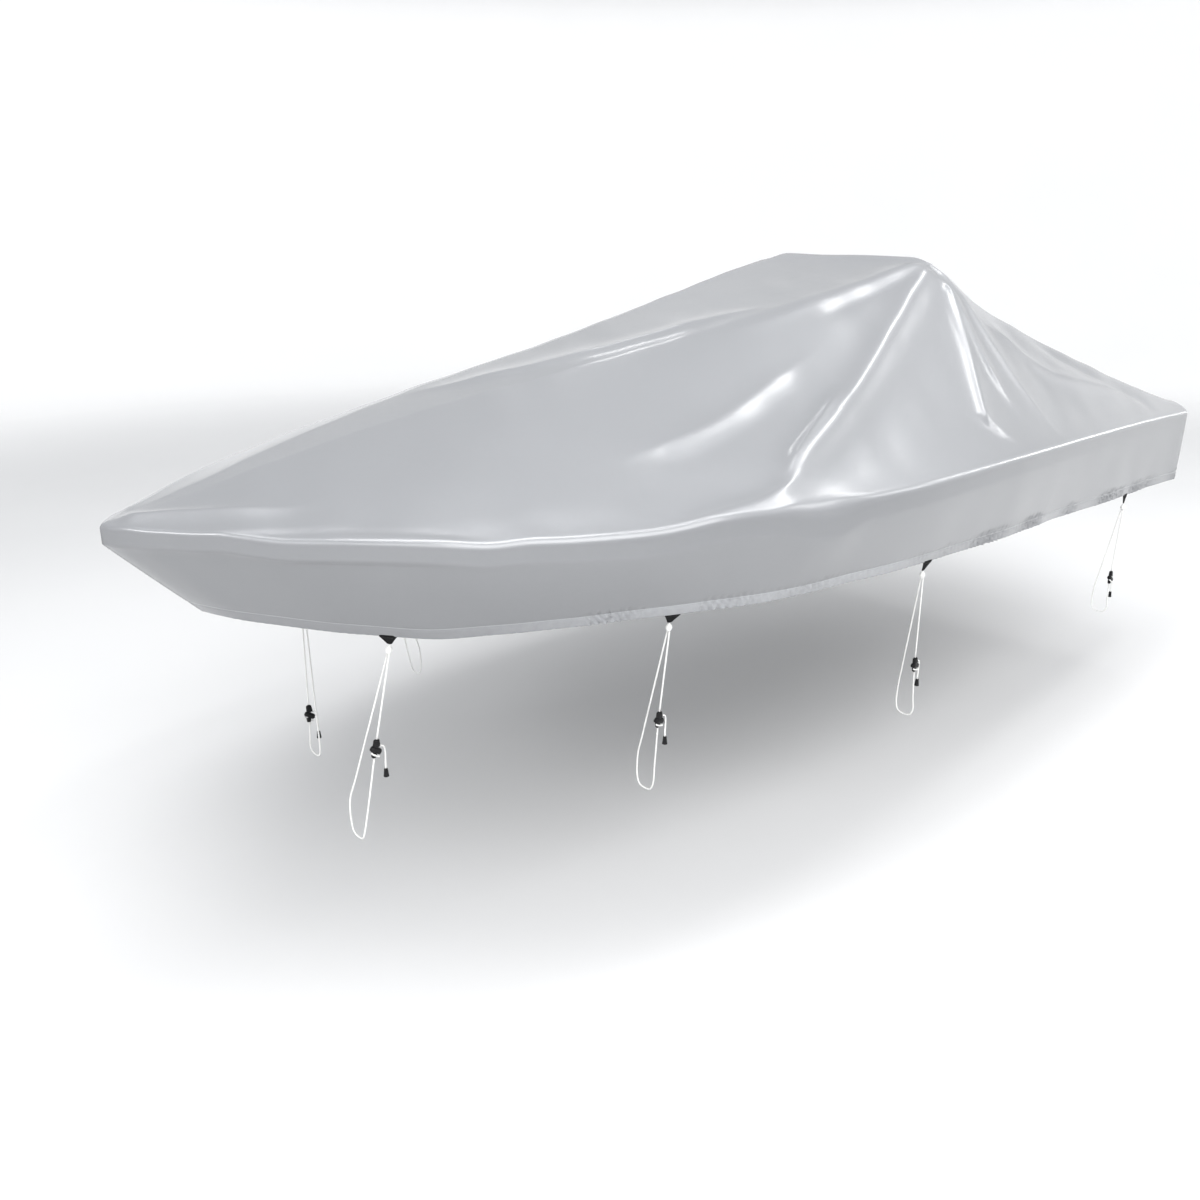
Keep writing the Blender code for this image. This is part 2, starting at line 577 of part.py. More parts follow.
def make_toggle(name, at, collection, surface):
    end = tail_route(at)[-1]
    mesh = bmesh.new()
    top = end + Vector((0.0, 0.0, -GAP))
    middle = top - Vector((0.0, 0.0, TOGGLE_LENGTH / 2))
    bmesh.ops.create_cone(mesh, cap_ends=True, segments=TOGGLE_SIDES, radius1=TOGGLE_BASE_R,
                          radius2=TOGGLE_TOP_R, depth=TOGGLE_LENGTH,
                          matrix=Matrix.Translation(middle))
    data = bpy.data.meshes.new(name)
    mesh.to_mesh(data)
    mesh.free()
    data.shade_smooth()
    data.set_sharp_from_angle(angle=math.radians(40))
    return add_object(name, data, collection, surface)


def make_tie(tie, collection, surfaces):
    at = tie_points(tie)
    name = "tie_" + tie["name"]
    make_tab(name + "_tab", tie, collection, surfaces["webbing"])
    make_knot(name + "_knot", at, collection, surfaces["cord"])
    make_cord(name + "_line", line_route(at), 3, collection, surfaces["cord"])
    make_cord(name + "_fall", fall_route(at), 3, collection, surfaces["cord"])
    make_lock(name + "_lock", at, collection, surfaces["plastic"])
    make_cord(name + "_tail", tail_route(at), 2, collection, surfaces["cord"])
    make_toggle(name + "_toggle", at, collection, surfaces["plastic"])


def main():
    for old in list(bpy.data.objects):
        bpy.data.objects.remove(old, do_unlink=True)
    collection = bpy.data.collections.new("boat_cover")
    cutters = bpy.data.collections.new("no_cutters")
    bpy.context.scene.collection.children.link(collection)
    bpy.context.scene.collection.children.link(cutters)
    surfaces = {
        "cloth": material("silver_polyester", (0.42, 0.43, 0.45), 0.38),
        "webbing": material("black_webbing", (0.012, 0.012, 0.013), 0.75),
        "cord": material("white_cord", (0.82, 0.82, 0.80), 0.65),
        "plastic": material("black_plastic", (0.015, 0.015, 0.017), 0.35),
    }
    make_cover(collection, surfaces["cloth"])
    for tie in rows(TIE_COLUMNS, TIES):
        make_tie(tie, collection, surfaces)


main()
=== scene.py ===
"""Looks of the boat cover: its silver cloth and hem, webbing tabs and cord ties.

Metres, +X towards the bow, +Y to port, +Z up. The origin is under the ridge.
"""

import math
from types import SimpleNamespace

import bmesh
import bpy
import numpy as np
from mathutils import Matrix, Vector


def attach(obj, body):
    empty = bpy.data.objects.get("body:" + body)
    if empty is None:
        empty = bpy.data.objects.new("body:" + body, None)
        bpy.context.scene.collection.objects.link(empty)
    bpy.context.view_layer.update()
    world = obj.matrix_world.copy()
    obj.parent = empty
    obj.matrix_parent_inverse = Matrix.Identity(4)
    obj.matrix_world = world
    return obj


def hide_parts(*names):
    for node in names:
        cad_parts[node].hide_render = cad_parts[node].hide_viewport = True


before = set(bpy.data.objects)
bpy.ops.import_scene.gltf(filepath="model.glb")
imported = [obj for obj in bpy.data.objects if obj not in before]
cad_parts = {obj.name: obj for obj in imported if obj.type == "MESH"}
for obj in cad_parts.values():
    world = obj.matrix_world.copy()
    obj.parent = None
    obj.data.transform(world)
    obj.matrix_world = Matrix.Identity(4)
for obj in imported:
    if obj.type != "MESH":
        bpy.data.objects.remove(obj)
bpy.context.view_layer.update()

# ------------------------------------------------------------------- viewpoint
# The cover is seen by somebody who stands ahead of it on its port side and
# looks aft and a little down, past the bow to the peak over the ridge.

EYE = Vector((3.727, 2.583, 0.152))
EYE_YAW = 0.8202          # radians that the line of sight turns from straight aft
EYE_PITCH = 0.3411        # and dips below the level
SENSOR = 36.0
LENS = 32.4

sight = Vector((-math.cos(EYE_YAW) * math.cos(EYE_PITCH),
                -math.sin(EYE_YAW) * math.cos(EYE_PITCH), -math.sin(EYE_PITCH)))
eye_data = bpy.data.cameras.new("eye")
eye_data.lens = LENS
eye_data.sensor_width = SENSOR
eye = bpy.data.objects.new("eye", eye_data)
eye.location = EYE
eye.rotation_euler = sight.to_track_quat("-Z", "Y").to_euler()
bpy.context.scene.collection.objects.link(eye)
bpy.context.scene.camera = eye

# ---------------------------------------------------------------------- studio
# A pale round floor turns up into a low wall, lit from behind so that no
# horizon shows. Softboxes hang over the cover and stand low ahead of it and
# behind its port quarter. Their reflections draw the lines along the folds.

FLOOR_Z = -1.826
FLOOR_R = 10.0
FLOOR_TURN = 4.0          # radius of the turn from floor to wall
WALL_TOP = 3.4            # height of the wall's rim above the turn
FLOOR_SIDES = 96
FLOOR_RINGS = (0.0, 2.0, 4.0, 6.0, 8.0, FLOOR_R)
FLOOR_TURN_STEPS = 16
FLOOR_GREYS = (0.679, 0.679, 0.679), (0.721, 0.721, 0.721)
SKY_GREY = (0.90, 0.92, 0.95)
SKY_STRENGTH = 0.78
GLOW = 0.34               # the floor's rim and the low wall are lit from behind
GLOW_FROM = (5.5, 11.0)   # over this distance from the middle the glow comes up
GLOW_UP_TO = (2.8, 4.0)   # and over this height it goes
# name, place, aim, length, width, turn of its length from level, watts
LAMPS = (
    ("overhead softbox", (2.3, 0.50, 4.6), (2.3, 0.50, 0.0), 4.4, 1.6, 0.0, 175.0),
    ("aft softbox", (-2.45, 1.30, 4.6), (-2.45, 1.30, 0.0), 2.5, 0.35, 0.0, 20.0),
    ("ridge softbox", (-0.85, 0.20, 4.6), (-0.85, 0.20, 0.0), 1.2, 0.40, 0.0, 14.0),
    ("waist softbox", (-0.75, 1.75, 4.6), (-0.75, 1.75, 0.0), 1.7, 0.60, 0.0, 42.0),
    ("bow softbox", (7.0, 0.9, 2.3), (2.7, 0.2, -0.6), 1.5, 1.0, 0.0, 66.0),
    ("low softbox", (6.2, 4.2, 2.2), (2.5, 0.5, -0.6), 3.0, 2.0, 0.0, 64.0),
    ("crest softbox", (-4.71, 1.19, 5.84), (0.9, 0.8, -0.4), 2.0, 1.0, 0.0, 42.0),
    ("roll softbox", (-5.18, -0.05, 5.33), (0.9, 0.8, -0.4), 1.0, 0.8, 0.0, 24.0),
    ("high softbox", (-7.5, 3.0, 3.9), (0.8, 0.7, -0.3), 1.2, 1.2, 0.0, 24.0),
    ("broad softbox", (-7.6, 1.3, 5.0), (0.6, 0.8, -0.4), 3.6, 2.6, 0.0, 8.0),
    ("quarter strip", (-7.5, 2.6, 1.6), (0.0, 0.9, -0.5), 3.3, 0.30, 53.0, 48.0),
    ("aft strip", (-7.0, 5.4, 5.1), (0.3, 1.0, -0.6), 4.6, 1.50, 90.0, 105.0),
    ("far softbox", (-2.9, -4.2, 3.9), (0.9, -0.1, -0.3), 0.7, 0.4, 0.0, 6.5),
    ("side softbox", (2.6, 4.9, 4.1), (1.8, 1.0, -0.6), 5.6, 3.8, 0.0, 320.0),
)


def operator(name, swapped=False):
    """An operator of the class below: it adds a Math node to the same tree."""
    def apply(one, other):
        return one.maths(name, *((other, one) if swapped else (one, other)))
    return apply


class Term:
    """A node's socket in an expression."""

    def __init__(self, nodes, socket):
        self.nodes, self.socket = nodes, socket

    def maths(self, name, *terms):
        return self.nodes.node("ShaderNodeMath", {"operation": name}, dict(enumerate(terms)))

    __add__, __radd__ = operator("ADD"), operator("ADD", True)
    __sub__, __rsub__ = operator("SUBTRACT"), operator("SUBTRACT", True)
    __mul__, __rmul__ = operator("MULTIPLY"), operator("MULTIPLY", True)
    __truediv__ = operator("DIVIDE")
    larger = operator("MAXIMUM")

    def sine(self):
        return self.maths("SINE", self)

    def size(self):
        return self.maths("ABSOLUTE", self)


class Nodes:
    """A node tree that is put together by calls."""

    def node(self, kind, settings=(), sockets=(), output=0):
        """One node: its type, its settings, and the values or links of its sockets."""
        made = self.tree.nodes.new(kind)
        for key, value in dict(settings).items():
            setattr(made, key, value)
        for key, value in dict(sockets).items():
            if isinstance(value, Term):
                self.tree.links.new(value.socket, made.inputs[key])
            else:
                made.inputs[key].default_value = value
        return Term(self, made.outputs[output])

    def parts(self, value):
        """The numbers that a vector is made of."""
        apart = self.node("ShaderNodeSeparateXYZ", (), {0: value}).socket.node
        return [Term(self, part) for part in apart.outputs]


class Finish(Nodes):
    """A procedural material, named for what it finishes. Its slot is stored but not used."""

    def __init__(self, name, slot=None, **sockets):
        self.slot = slot
        self.material = bpy.data.materials.new(name)
        self.material.use_nodes = True
        self.tree = self.material.node_tree
        self.shader = self.tree.nodes["Principled BSDF"]
        for key, value in sockets.items():
            self.shader.inputs[key.replace("_", " ")].default_value = value

    def place(self):
        return self.node("ShaderNodeTexCoord", output="Object")

    def flat(self, layer):
        """The two distances of a UV map that is laid out in metres."""
        return self.parts(self.node("ShaderNodeUVMap", {"uv_map": layer}))[:2]

    def noise(self, scale, detail=2.0, roughness=0.5, stretch=(1.0, 1.0, 1.0)):
        where = self.node("ShaderNodeMapping", (), {0: self.place(), "Scale": stretch})
        return self.node("ShaderNodeTexNoise", (), {
            "Vector": where, "Scale": scale, "Detail": detail, "Roughness": roughness})

    def blend(self, share, *colours):
        """A colour between two others."""
        first, second = (c if isinstance(c, Term) else (*c, 1.0) for c in colours)
        return self.node("ShaderNodeMix", {"data_type": "RGBA"},
                         {0: share, 6: first, 7: second}, output=2)

    def feed(self, socket, value):
        self.tree.links.new(value.socket, self.shader.inputs[socket])

    def tint(self, share, *colours):
        self.feed("Base Color", self.blend(share, *colours))

    def bump(self, height, distance, strength=1.0):
        self.feed("Normal", self.node("ShaderNodeBump", (), {
            "Height": height, "Distance": distance, "Strength": strength}))


def add_mesh(name, data, finish=None):
    """An object in the scene. Its mesh takes the finish, unless a tree has set it."""
    made = bpy.data.objects.new(name, data)
    if finish and not data.materials:
        data.materials.append(finish.material)
    bpy.context.scene.collection.objects.link(made)
    return made


def smooth_mesh(name, shape):
    """A plain mesh, shaded smooth, of a shape that is no longer needed itself."""
    data = bpy.data.meshes.new(name)
    shape.to_mesh(data)
    shape.free()
    data.shade_smooth()
    return data


floor_finish = Finish("pale studio floor", Roughness=0.75, Emission_Strength=GLOW)
floor_finish.tint(floor_finish.noise(0.6, 3.0), *FLOOR_GREYS)
floor_x, floor_y, floor_up = floor_finish.parts(floor_finish.place())


def fade(value, low, high):
    return floor_finish.node("ShaderNodeMapRange", {"interpolation_type": "SMOOTHSTEP"},
                             {0: value, 1: low, 2: high})


glow = fade(floor_x * floor_x + floor_y * floor_y, *(r * r for r in GLOW_FROM)) \
    * (1 - fade(floor_up, *GLOW_UP_TO))
floor_finish.feed("Emission Color", floor_finish.blend(glow, (0.0, 0.0, 0.0), (1.0, 1.0, 1.0)))
rim = [(r, FLOOR_Z) for r in FLOOR_RINGS]
for step in range(1, FLOOR_TURN_STEPS + 1):
    turn = math.pi / 2 * step / FLOOR_TURN_STEPS
    rim.append((FLOOR_R + FLOOR_TURN * math.sin(turn), FLOOR_Z + FLOOR_TURN * (1 - math.cos(turn))))
rim.append((FLOOR_R + FLOOR_TURN, FLOOR_Z + FLOOR_TURN + WALL_TOP))
floor_shape = bmesh.new()
rim_line = [floor_shape.verts.new((r, 0.0, z)) for r, z in rim]
floor_edges = [floor_shape.edges.new(pair) for pair in zip(rim_line, rim_line[1:])]
bmesh.ops.spin(floor_shape, geom=rim_line + floor_edges, axis=(0, 0, 1), cent=(0, 0, 0),
               angle=math.tau, steps=FLOOR_SIDES, use_merge=True)
bmesh.ops.remove_doubles(floor_shape, verts=floor_shape.verts[:], dist=1e-4)
bmesh.ops.recalc_face_normals(floor_shape, faces=floor_shape.faces[:])
if sum(face.normal.z for face in floor_shape.faces) < 0:
    bmesh.ops.reverse_faces(floor_shape, faces=floor_shape.faces[:])
add_mesh("studio_floor", smooth_mesh("studio_floor", floor_shape), floor_finish)

for lamp_name, place, aim, length, width, turn, watts in LAMPS:
    lamp_data = bpy.data.lights.new(lamp_name, "AREA")
    lamp_data.shape = "RECTANGLE"
    lamp_data.size, lamp_data.size_y, lamp_data.energy = length, width, watts
    lamp = bpy.data.objects.new(lamp_name, lamp_data)
    lamp.location = place
    ahead = (Vector(aim) - Vector(place)).normalized()
    level = ahead.cross((0, 0, 1)).normalized() if abs(ahead.z) < 0.9 else Vector((1, 0, 0))
    level = Matrix.Rotation(math.radians(turn), 3, ahead) @ level
    lamp.rotation_euler = Matrix((level, level.cross(ahead), -ahead)).transposed().to_euler()
    lamp.visible_camera = False
    bpy.context.scene.collection.objects.link(lamp)

sky = bpy.data.worlds.new("studio sky")
sky.use_nodes = True
sky.node_tree.nodes["Background"].inputs["Color"].default_value = (*SKY_GREY, 1.0)
sky.node_tree.nodes["Background"].inputs["Strength"].default_value = SKY_STRENGTH
bpy.context.scene.world = sky
bpy.context.scene.view_settings.view_transform = "Standard"

# ------------------------------------------------------------------- the cloth
# One fitted sheet of silver polyester with a coated face. It is pulled over the
# bar below its ridge and down around the hull, where an elastic cord in its hem
# gathers it in. Its folds fan out from the two ends of the bar.

BOW_X = 2.92
STERN_X = -1.61
CORNER_R = 0.085          # plan radius of the stern corners
RAKE = 0.205              # how far the hem lies aft of the bow's tip
RAKE_REACH = 1.60
BAND = 0.038              # upright band just below the gunwale
HEM = 0.034               # height of the hem's channel
HEM_PINCH = 0.0018        # depth of its stitched line
TUCK_BEND = 1.25          # how late the skirt leans in
SPINE_AFT = -1.22         # the mesh's middle line, from here
SPINE_FORE = 2.80         # to here
HIP_AFT = -1.38           # where the columns of the stern's face cross the hip line
HIP_LEAST = 0.035         # that line's least half width
HIP_MOST = 0.6            # and its most, as a share of the half beam
FINE_STEP = 0.0094        # the sheet's columns along the gunwale, where most folds meet it
BROAD_STEP = 0.0158       # and elsewhere
FINE_REACH = (-0.15, 2.10)
STARBOARD_STEP = 0.0132   # in the same reach on the far side
INNER_ROWS = 20           # rows of the mesh inside the hip line,
OUTER_ROWS = 51           # from there to the gunwale
OUTER_CROWD = 1.15        # where they crowd together,
ROLL_ROWS = 7             # and round its roll
STEEPEST = 1.2            # most that the deck's edge may slope, in radians
SLOPE_PROBE = 0.004
SLOPE_RUN = 0.014         # least width of the slope between the flat top and the gunwale
SKIRT_ROWS = (0.06, 0.12, 0.15, 0.18, 0.22, 0.28, 0.37, 0.46, 0.57, 0.68, 0.79, 0.89, 0.97)
SKIRT_LEAST = 0.052       # how far above the hem's edge the skirt's own rows end
HEM_ROWS = (0.046, 0.0385, 0.034, 0.0295, 0.024, 0.016, 0.008, 0.002)
LIP_ROWS = ((0.0, 0.0), (0.0005, 0.0018), (0.009, 0.0026), (0.019, 0.0026), (0.030, 0.0022))

# Places along the gunwale, and where their columns cross the hip line.
FAN = (
    (2.92, 2.80), (2.70, 2.46), (2.45, 1.90), (2.20, 1.30), (2.00, 0.80),
    (1.85, 0.42), (1.75, 0.16), (1.68, 0.00), (0.10, 0.00), (-0.20, -0.03),
    (-0.40, -0.12), (-0.65, -0.34), (-0.95, -0.70), (-1.25, -1.08), (-1.525, -1.38),
)

# One row for each cross-section, bow first, in millimetres: its place, the
# gunwale's half beam and height, the deck's middle and flat top, how the slope
# between them bends (two powers, in thousandths), the skirt's height, how far it
# leans in, the radius of the roll over the gunwale and the step below its band.
SECTION_COLUMNS = ("x half_beam edge_z crown_z shoulder fullness hollow drop tuck roll "
                   "step").split()
SECTIONS = (
    ( 2920,    0, -531, -529,   0, 1340, 1120, 266,  10, 12,  0),
    ( 2900,   40, -532, -524,   3, 1340, 1120, 269,  16, 13,  2),
    ( 2800,  155, -537, -505,  14, 1340, 1120, 283,  36, 16,  8),
    ( 2620,  355, -545, -461,  35, 1340, 1120, 299,  68, 20, 11),
    ( 2470,  504, -550, -427,  53, 1300, 1120, 304,  88, 22,  8),
    ( 2320,  629, -554, -391,  72, 1260, 1120, 291, 102, 24,  5),
    ( 1920,  845, -560, -319, 122, 1220, 1120, 277, 124, 28,  0),
    ( 1420,  982, -563, -245, 185, 1220, 1120, 281, 114, 30,  0),
    (  920, 1024, -566, -162, 249, 1260, 1130, 290,  95, 30,  0),
    (  420, 1008, -576,  -75, 313, 1280, 1160, 297,  77, 28,  0),
    (  120,  984, -587,  -21, 351, 1220, 1200, 301,  65, 28,  0),
    (   30,  976, -591,   -3, 363, 1200, 1220, 302,  62, 28,  0),
    (    0,  973, -592,    2, 366, 1200, 1220, 303,  60, 28,  0),
    (  -30,  970, -593,  -16, 372, 1180, 1220, 303,  59, 28,  0),
    ( -110,  962, -597,  -72, 397, 1150, 1200, 304,  56, 28,  0),
    ( -270,  946, -605, -176, 441, 1150, 1180, 305,  50, 28,  0),
    ( -480,  925, -616, -269, 499, 1150, 1150, 306,  43, 28,  0),
    ( -780,  895, -633, -387, 581, 1150, 1120, 308,  32, 28,  0),
    (-1080,  866, -651, -498, 655, 1150, 1100, 309,  22, 28,  0),
    (-1380,  838, -669, -593, 715, 1150, 1100, 310,  12, 28,  0),
    (-1610,  820, -683, -652, 740, 1150, 1100, 310,   6, 28,  0),
)

# Every fold of the deck: its name, its side (+1 for port, -1 for starboard, where
# y is mirrored) and then, in millimetres, the four places in plan that lead it
# from start to end, its height above the smooth cloth (a trough is negative), how
# round its top is and how wide it spreads on its left and right. The last three
# are thousandths: the parts of its length over which it comes and goes, and how
# much of it is left where the deck meets the gunwale.
FOLDS = (
    ("long roll", 1, 20, 395, 580, 580, 1160, 781, 1600, 913, 36, 28, 36, 46, 60, 200, 900),
    ("roll's foot", 1, 1380, 862, 1520, 899, 1660, 894, 1900, 843, 18, 9, 55, 24, 300, 450, 1000),
    ("second foot", 1, 900, 655, 1100, 722, 1260, 782, 1440, 853, 10, 6, 20, 20, 300, 200, 600),
    ("long hollow", 1, 220, 600, 600, 745, 980, 865, 1350, 935, -5, 90, 85, 85, 300, 450, 100),
    ("forward fold", 1, 30, 385, 300, 350, 750, 316, 1200, 275, 9, 12, 26, 50, 140, 450, 200),
    ("forward groove", 1, 30, 400, 260, 392, 450, 380, 740, 400, -7, 14, 30, 30, 200, 350, 200),
    ("middle fold", 1, 800, 490, 1130, 541, 1500, 600, 1840, 562, 11, 8, 22, 42, 450, 300, 200),
    ("middle groove", 1, 950, 575, 1150, 605, 1480, 660, 1780, 635, -3, 12, 40, 30, 350, 200, 200),
    ("centre fold", 1, 720, 225, 1150, 140, 1600, 65, 2060, -130, 18, 6, 28, 60, 250, 300, 200),
    ("side fold", 1, 30, 420, 120, 585, 260, 735, 430, 900, 22, 6, 40, 30, 150, 70, 0),
    ("side crease", 1, 40, 450, 90, 590, 140, 725, 150, 870, 13, 7, 30, 26, 200, 350, 200),
    ("faint side crease", 1, 10, 470, -60, 560, -180, 610, -320, 665, 7, 8, 25, 25, 200, 400, 200),
    ("quarter fold", 1, -100, 490, -320, 690, -700, 735, -1120, 832, 18, 12, 45, 40, 200, 200, 200),
    ("quarter groove", 1, -450, 540, -720, 640, -950, 715, -1200, 765, -14, 20, 32, 32, 250, 250, 200),
    ("bow fold", 1, 2900, 12, 2820, 57, 2710, 147, 2450, 300, 15, 6, 26, 26, 100, 600, 300),
    ("gunwale line", 1, 2800, 150, 2660, 282, 2500, 428, 2280, 628, 6, 4, 12, 16, 200, 300, 1000),
    ("gunwale groove", 1, 2740, 212, 2620, 321, 2480, 447, 2260, 650, -8, 4, 10, 10, 300, 250, 1000),
    ("long roll", -1, 20, 395, 460, 555, 920, 735, 1400, 905, 30, 12, 36, 50, 350, 120, 900),
    ("long hollow", -1, 200, 610, 540, 755, 860, 875, 1200, 950, -20, 90, 85, 85, 300, 300, 250),
    ("forward fold", -1, 50, 370, 320, 345, 700, 300, 1100, 262, 6, 20, 50, 35, 300, 450, 200),
    ("middle fold", -1, 900, 450, 1250, 515, 1600, 555, 1950, 540, 17, 18, 55, 45, 400, 200, 200),
    ("side fold", -1, 30, 430, 100, 590, 200, 755, 340, 930, 20, 7, 40, 32, 150, 100, 300),
    ("side crease", -1, -20, 460, -40, 600, -80, 740, -100, 860, 10, 8, 28, 28, 200, 400, 200),
    ("quarter fold", -1, -120, 490, -400, 675, -720, 745, -1050, 800, 18, 14, 48, 42, 200, 220, 200),
    ("bow fold", -1, 2880, 16, 2780, 70, 2620, 165, 2350, 270, 9, 7, 30, 30, 100, 550, 300),
)
FOLD_PLACES = 81
EDGE_FADE = 0.10          # outer part of the deck over which folds sink into the gunwale

# Soft upright waves of the skirt: side, place along the boat, half width, and how
# far each stands out at the hem.
WAVES = (
    (1, 2.02, 0.16, -0.006), (1, 1.46, 0.14, 0.008), (1, 1.12, 0.12, -0.006),
    (1, 0.36, 0.16, 0.007), (1, -0.20, 0.14, -0.006), (1, -0.62, 0.12, 0.006),
    (1, -1.25, 0.12, -0.005), (-1, 2.00, 0.15, 0.006), (-1, 1.30, 0.16, -0.008),
    (-1, 0.42, 0.14, 0.006), (-1, -0.12, 0.15, -0.007), (-1, -0.58, 0.13, 0.006),
    (-1, -1.22, 0.12, -0.004),
)
WAVE_BEND = 1.5           # how late they come
SKIRT_WAVE = 0.0022
SKIRT_SPANS = (0.55, 0.41, 0.33, 0.24)
# Small sags of the port gunwale between the boat's cleats: place, half width, depth.
SAGS = ((2.62, 0.08, 0.006), (2.27, 0.055, 0.009), (2.10, 0.10, 0.004), (1.95, 0.08, 0.003))
SOFT_ROLL = (1.22, 1.38, 1.44, 1.62)   # port reach where the roll is broad and no edge shows
SOFT_ROLL_R = 0.075
BAR_RISE = 0.009          # the bar lifts the ridge's middle,
BAR_LEVEL = (0.28, 0.37)  # up to where it starts to bend down,
BAR_ROUND = 0.012         # and its round ends let the corners down
BAR_END = (0.378, 0.036)  # here, over this half width
BAR_BREADTH = 0.055       # along the boat
DECK_WAVE = 0.0016
DECK_SPANS = (0.62, 0.47, 0.39, 0.31, 0.26, 0.21, 0.17)
# Gathers in the hem: from, to and depth, fore end first.
GATHERS = ((2.28, 1.78, 0.0075), (1.78, 1.00, 0.0042), (1.00, -1.61, 0.0050), (2.92, 2.28, 0.0014))
GATHER_BLEND = 0.06       # how far one reach of gathers runs into the next
GATHER_SPACING = 0.024
GATHER_SLANT = 0.9        # how far a gather leans for each unit that it rises
DRIFT_SPANS = (0.53, 0.31, 0.23, 0.17)        # lengths over which the spacing drifts,
PATCH_SPANS = (0.42, 0.27, 0.19)              # the depth comes and goes,
FINER_SPANS = (0.019, 0.013, 0.011, 0.029)    # and lengths of the finer creases
SEAM_GRIP = 0.0035        # half width of the cloth that the stitched line holds flat
GATHER_REACH = (0.075, 0.045)                 # height above the edge where gathers end
GATHERS_REST_AT = (2.565, 2.310, 1.825, 1.795, 0.79, -0.90)   # where the tabs are sewn
REST_REACH = 0.042
CLOTH_GREYS = (0.218, 0.223, 0.233), (0.242, 0.247, 0.258)
HEM_SHEEN_GREY = (0.40, 0.41, 0.43)   # painted sheen: the gathered hem's crinkles drawn paler than the cloth
WEAVE = 0.0011            # width of one thread of the cloth and its gap


def ramp(low, high, value):
    """0 below low and 1 above high, with a smooth rise between them."""
    share = np.clip((value - low) / (high - low), 0.0, 1.0)
    return share * share * (3.0 - 2.0 * share)


def bell(distance, half_width):
    return np.exp(-(distance / half_width) ** 2)


SECTION_TABLE = np.array(SECTIONS)[::-1] / 1000


def section(x, column):
    """One column of SECTIONS at places along the boat, never past its rows' values."""
    xs, ys = SECTION_TABLE[:, 0], SECTION_TABLE[:, SECTION_COLUMNS.index(column)]
    width = np.diff(xs)
    slope = np.diff(ys) / width
    tangent = np.zeros_like(ys)
    tangent[0], tangent[-1] = slope[0], slope[-1]
    for i, (before, after) in enumerate(zip(slope, slope[1:]), 1):
        if before * after > 0.0:
            a, b = 2.0 * width[i] + width[i - 1], width[i] + 2.0 * width[i - 1]
            tangent[i] = (a + b) / (a / before + b / after)
    x = np.clip(x, STERN_X, BOW_X)
    i = np.clip(np.searchsorted(xs, x) - 1, 0, len(xs) - 2)
    u = (x - xs[i]) / width[i]
    return ((1 + 2 * u) * (1 - u) ** 2 * ys[i] + u * (1 - u) ** 2 * width[i] * tangent[i]
            + u * u * (3 - 2 * u) * ys[i + 1] + u * u * (u - 1) * width[i] * tangent[i + 1])


def fold_path(marks):
    """Places along a fold: the cubic through its four places."""
    at = np.append(0.0, np.cumsum(np.linalg.norm(np.diff(marks, axis=0), axis=1)))
    at /= at[-1]
    steps = np.linspace(0.0, 1.0, FOLD_PLACES)
    return np.stack([np.polyval(np.polyfit(at, marks[:, n], 3), steps) for n in (0, 1)], axis=1)


def fold_height(x, y, across):
    """Sum of all folds at places of the deck."""
    total = np.zeros_like(x)
    for _, hand, *sizes in FOLDS:
        *marks, height, crest, left, right, rise, fall, keep = np.array(sizes) / 1000
        path = fold_path(np.reshape(marks, (4, 2)))
        way = np.gradient(path, axis=0)
        step = np.linalg.norm(way, axis=1)
        way /= step[:, None]
        places = np.stack([x, y * hand], axis=1)
        reach = 4.0 * (max(left, right) + crest)
        near = np.flatnonzero(((places > path.min(axis=0) - reach)
                               & (places < path.max(axis=0) + reach)).all(axis=1))
        if len(near) == 0:
            continue
        dx, dy = (places[near, n][:, None] - path[:, n] for n in (0, 1))
        nearest = np.argmin(dx * dx + dy * dy, axis=1)
        each = np.arange(len(near))
        dx, dy, way, step = dx[each, nearest], dy[each, nearest], way[nearest], step[nearest]
        off = way[:, 0] * dy - way[:, 1] * dx
        along = (nearest + (way[:, 0] * dx + way[:, 1] * dy) / step) / (FOLD_PLACES - 1)
        spread = np.where(off > 0, left, right)
        top = crest / spread
        profile = np.exp(top - np.sqrt((off / spread) ** 2 + top ** 2))
        fade = ramp(0.0, rise, along) * ramp(0.0, fall, 1.0 - along)
        left_over = keep + (1 - keep) * ramp(0.0, EDGE_FADE, 1 - across[near])
        total[near] += height * profile * fade * left_over
    return total


def unevenness(u, v, spans, seed):
    """Soft waves of many directions and lengths, between about -1 and 1."""
    chance = np.random.default_rng(seed)
    total = np.zeros_like(u)
    for span in spans:
        way, start = chance.uniform(0.0, math.tau, 2)
        total += np.sin((u * math.cos(way) + v * math.sin(way)) * math.tau / span + start)
    return total / math.sqrt(len(spans))


def deck_height(x, y):
    """Outer face of the deck: its section, the bar's ends, its folds and soft waves."""
    beam, flat = section(x, "half_beam"), section(x, "shoulder")
    low, high = section(x, "edge_z"), section(x, "crown_z")
    across = np.clip((abs(y) - flat) / np.maximum(beam - flat, SLOPE_RUN), 0.0, 1.0)
    rise = (1.0 - across ** section(x, "fullness")) ** section(x, "hollow")
    sag = sum(depth * bell(x - place, half_width) for place, half_width, depth in SAGS)
    bar_end, end_width = BAR_END
    bar = BAR_RISE * (1 - ramp(*BAR_LEVEL, abs(y))) - BAR_ROUND * bell(abs(y) - bar_end, end_width)
    return (low + (high - low) * rise + fold_height(x, y, across)
            + bar * bell(x, BAR_BREADTH) - sag * (y > 0) * ramp(0.8, 1.0, across)
            + DECK_WAVE * unevenness(x, y, DECK_SPANS, 4) * ramp(0.0, 0.25, 1 - across))


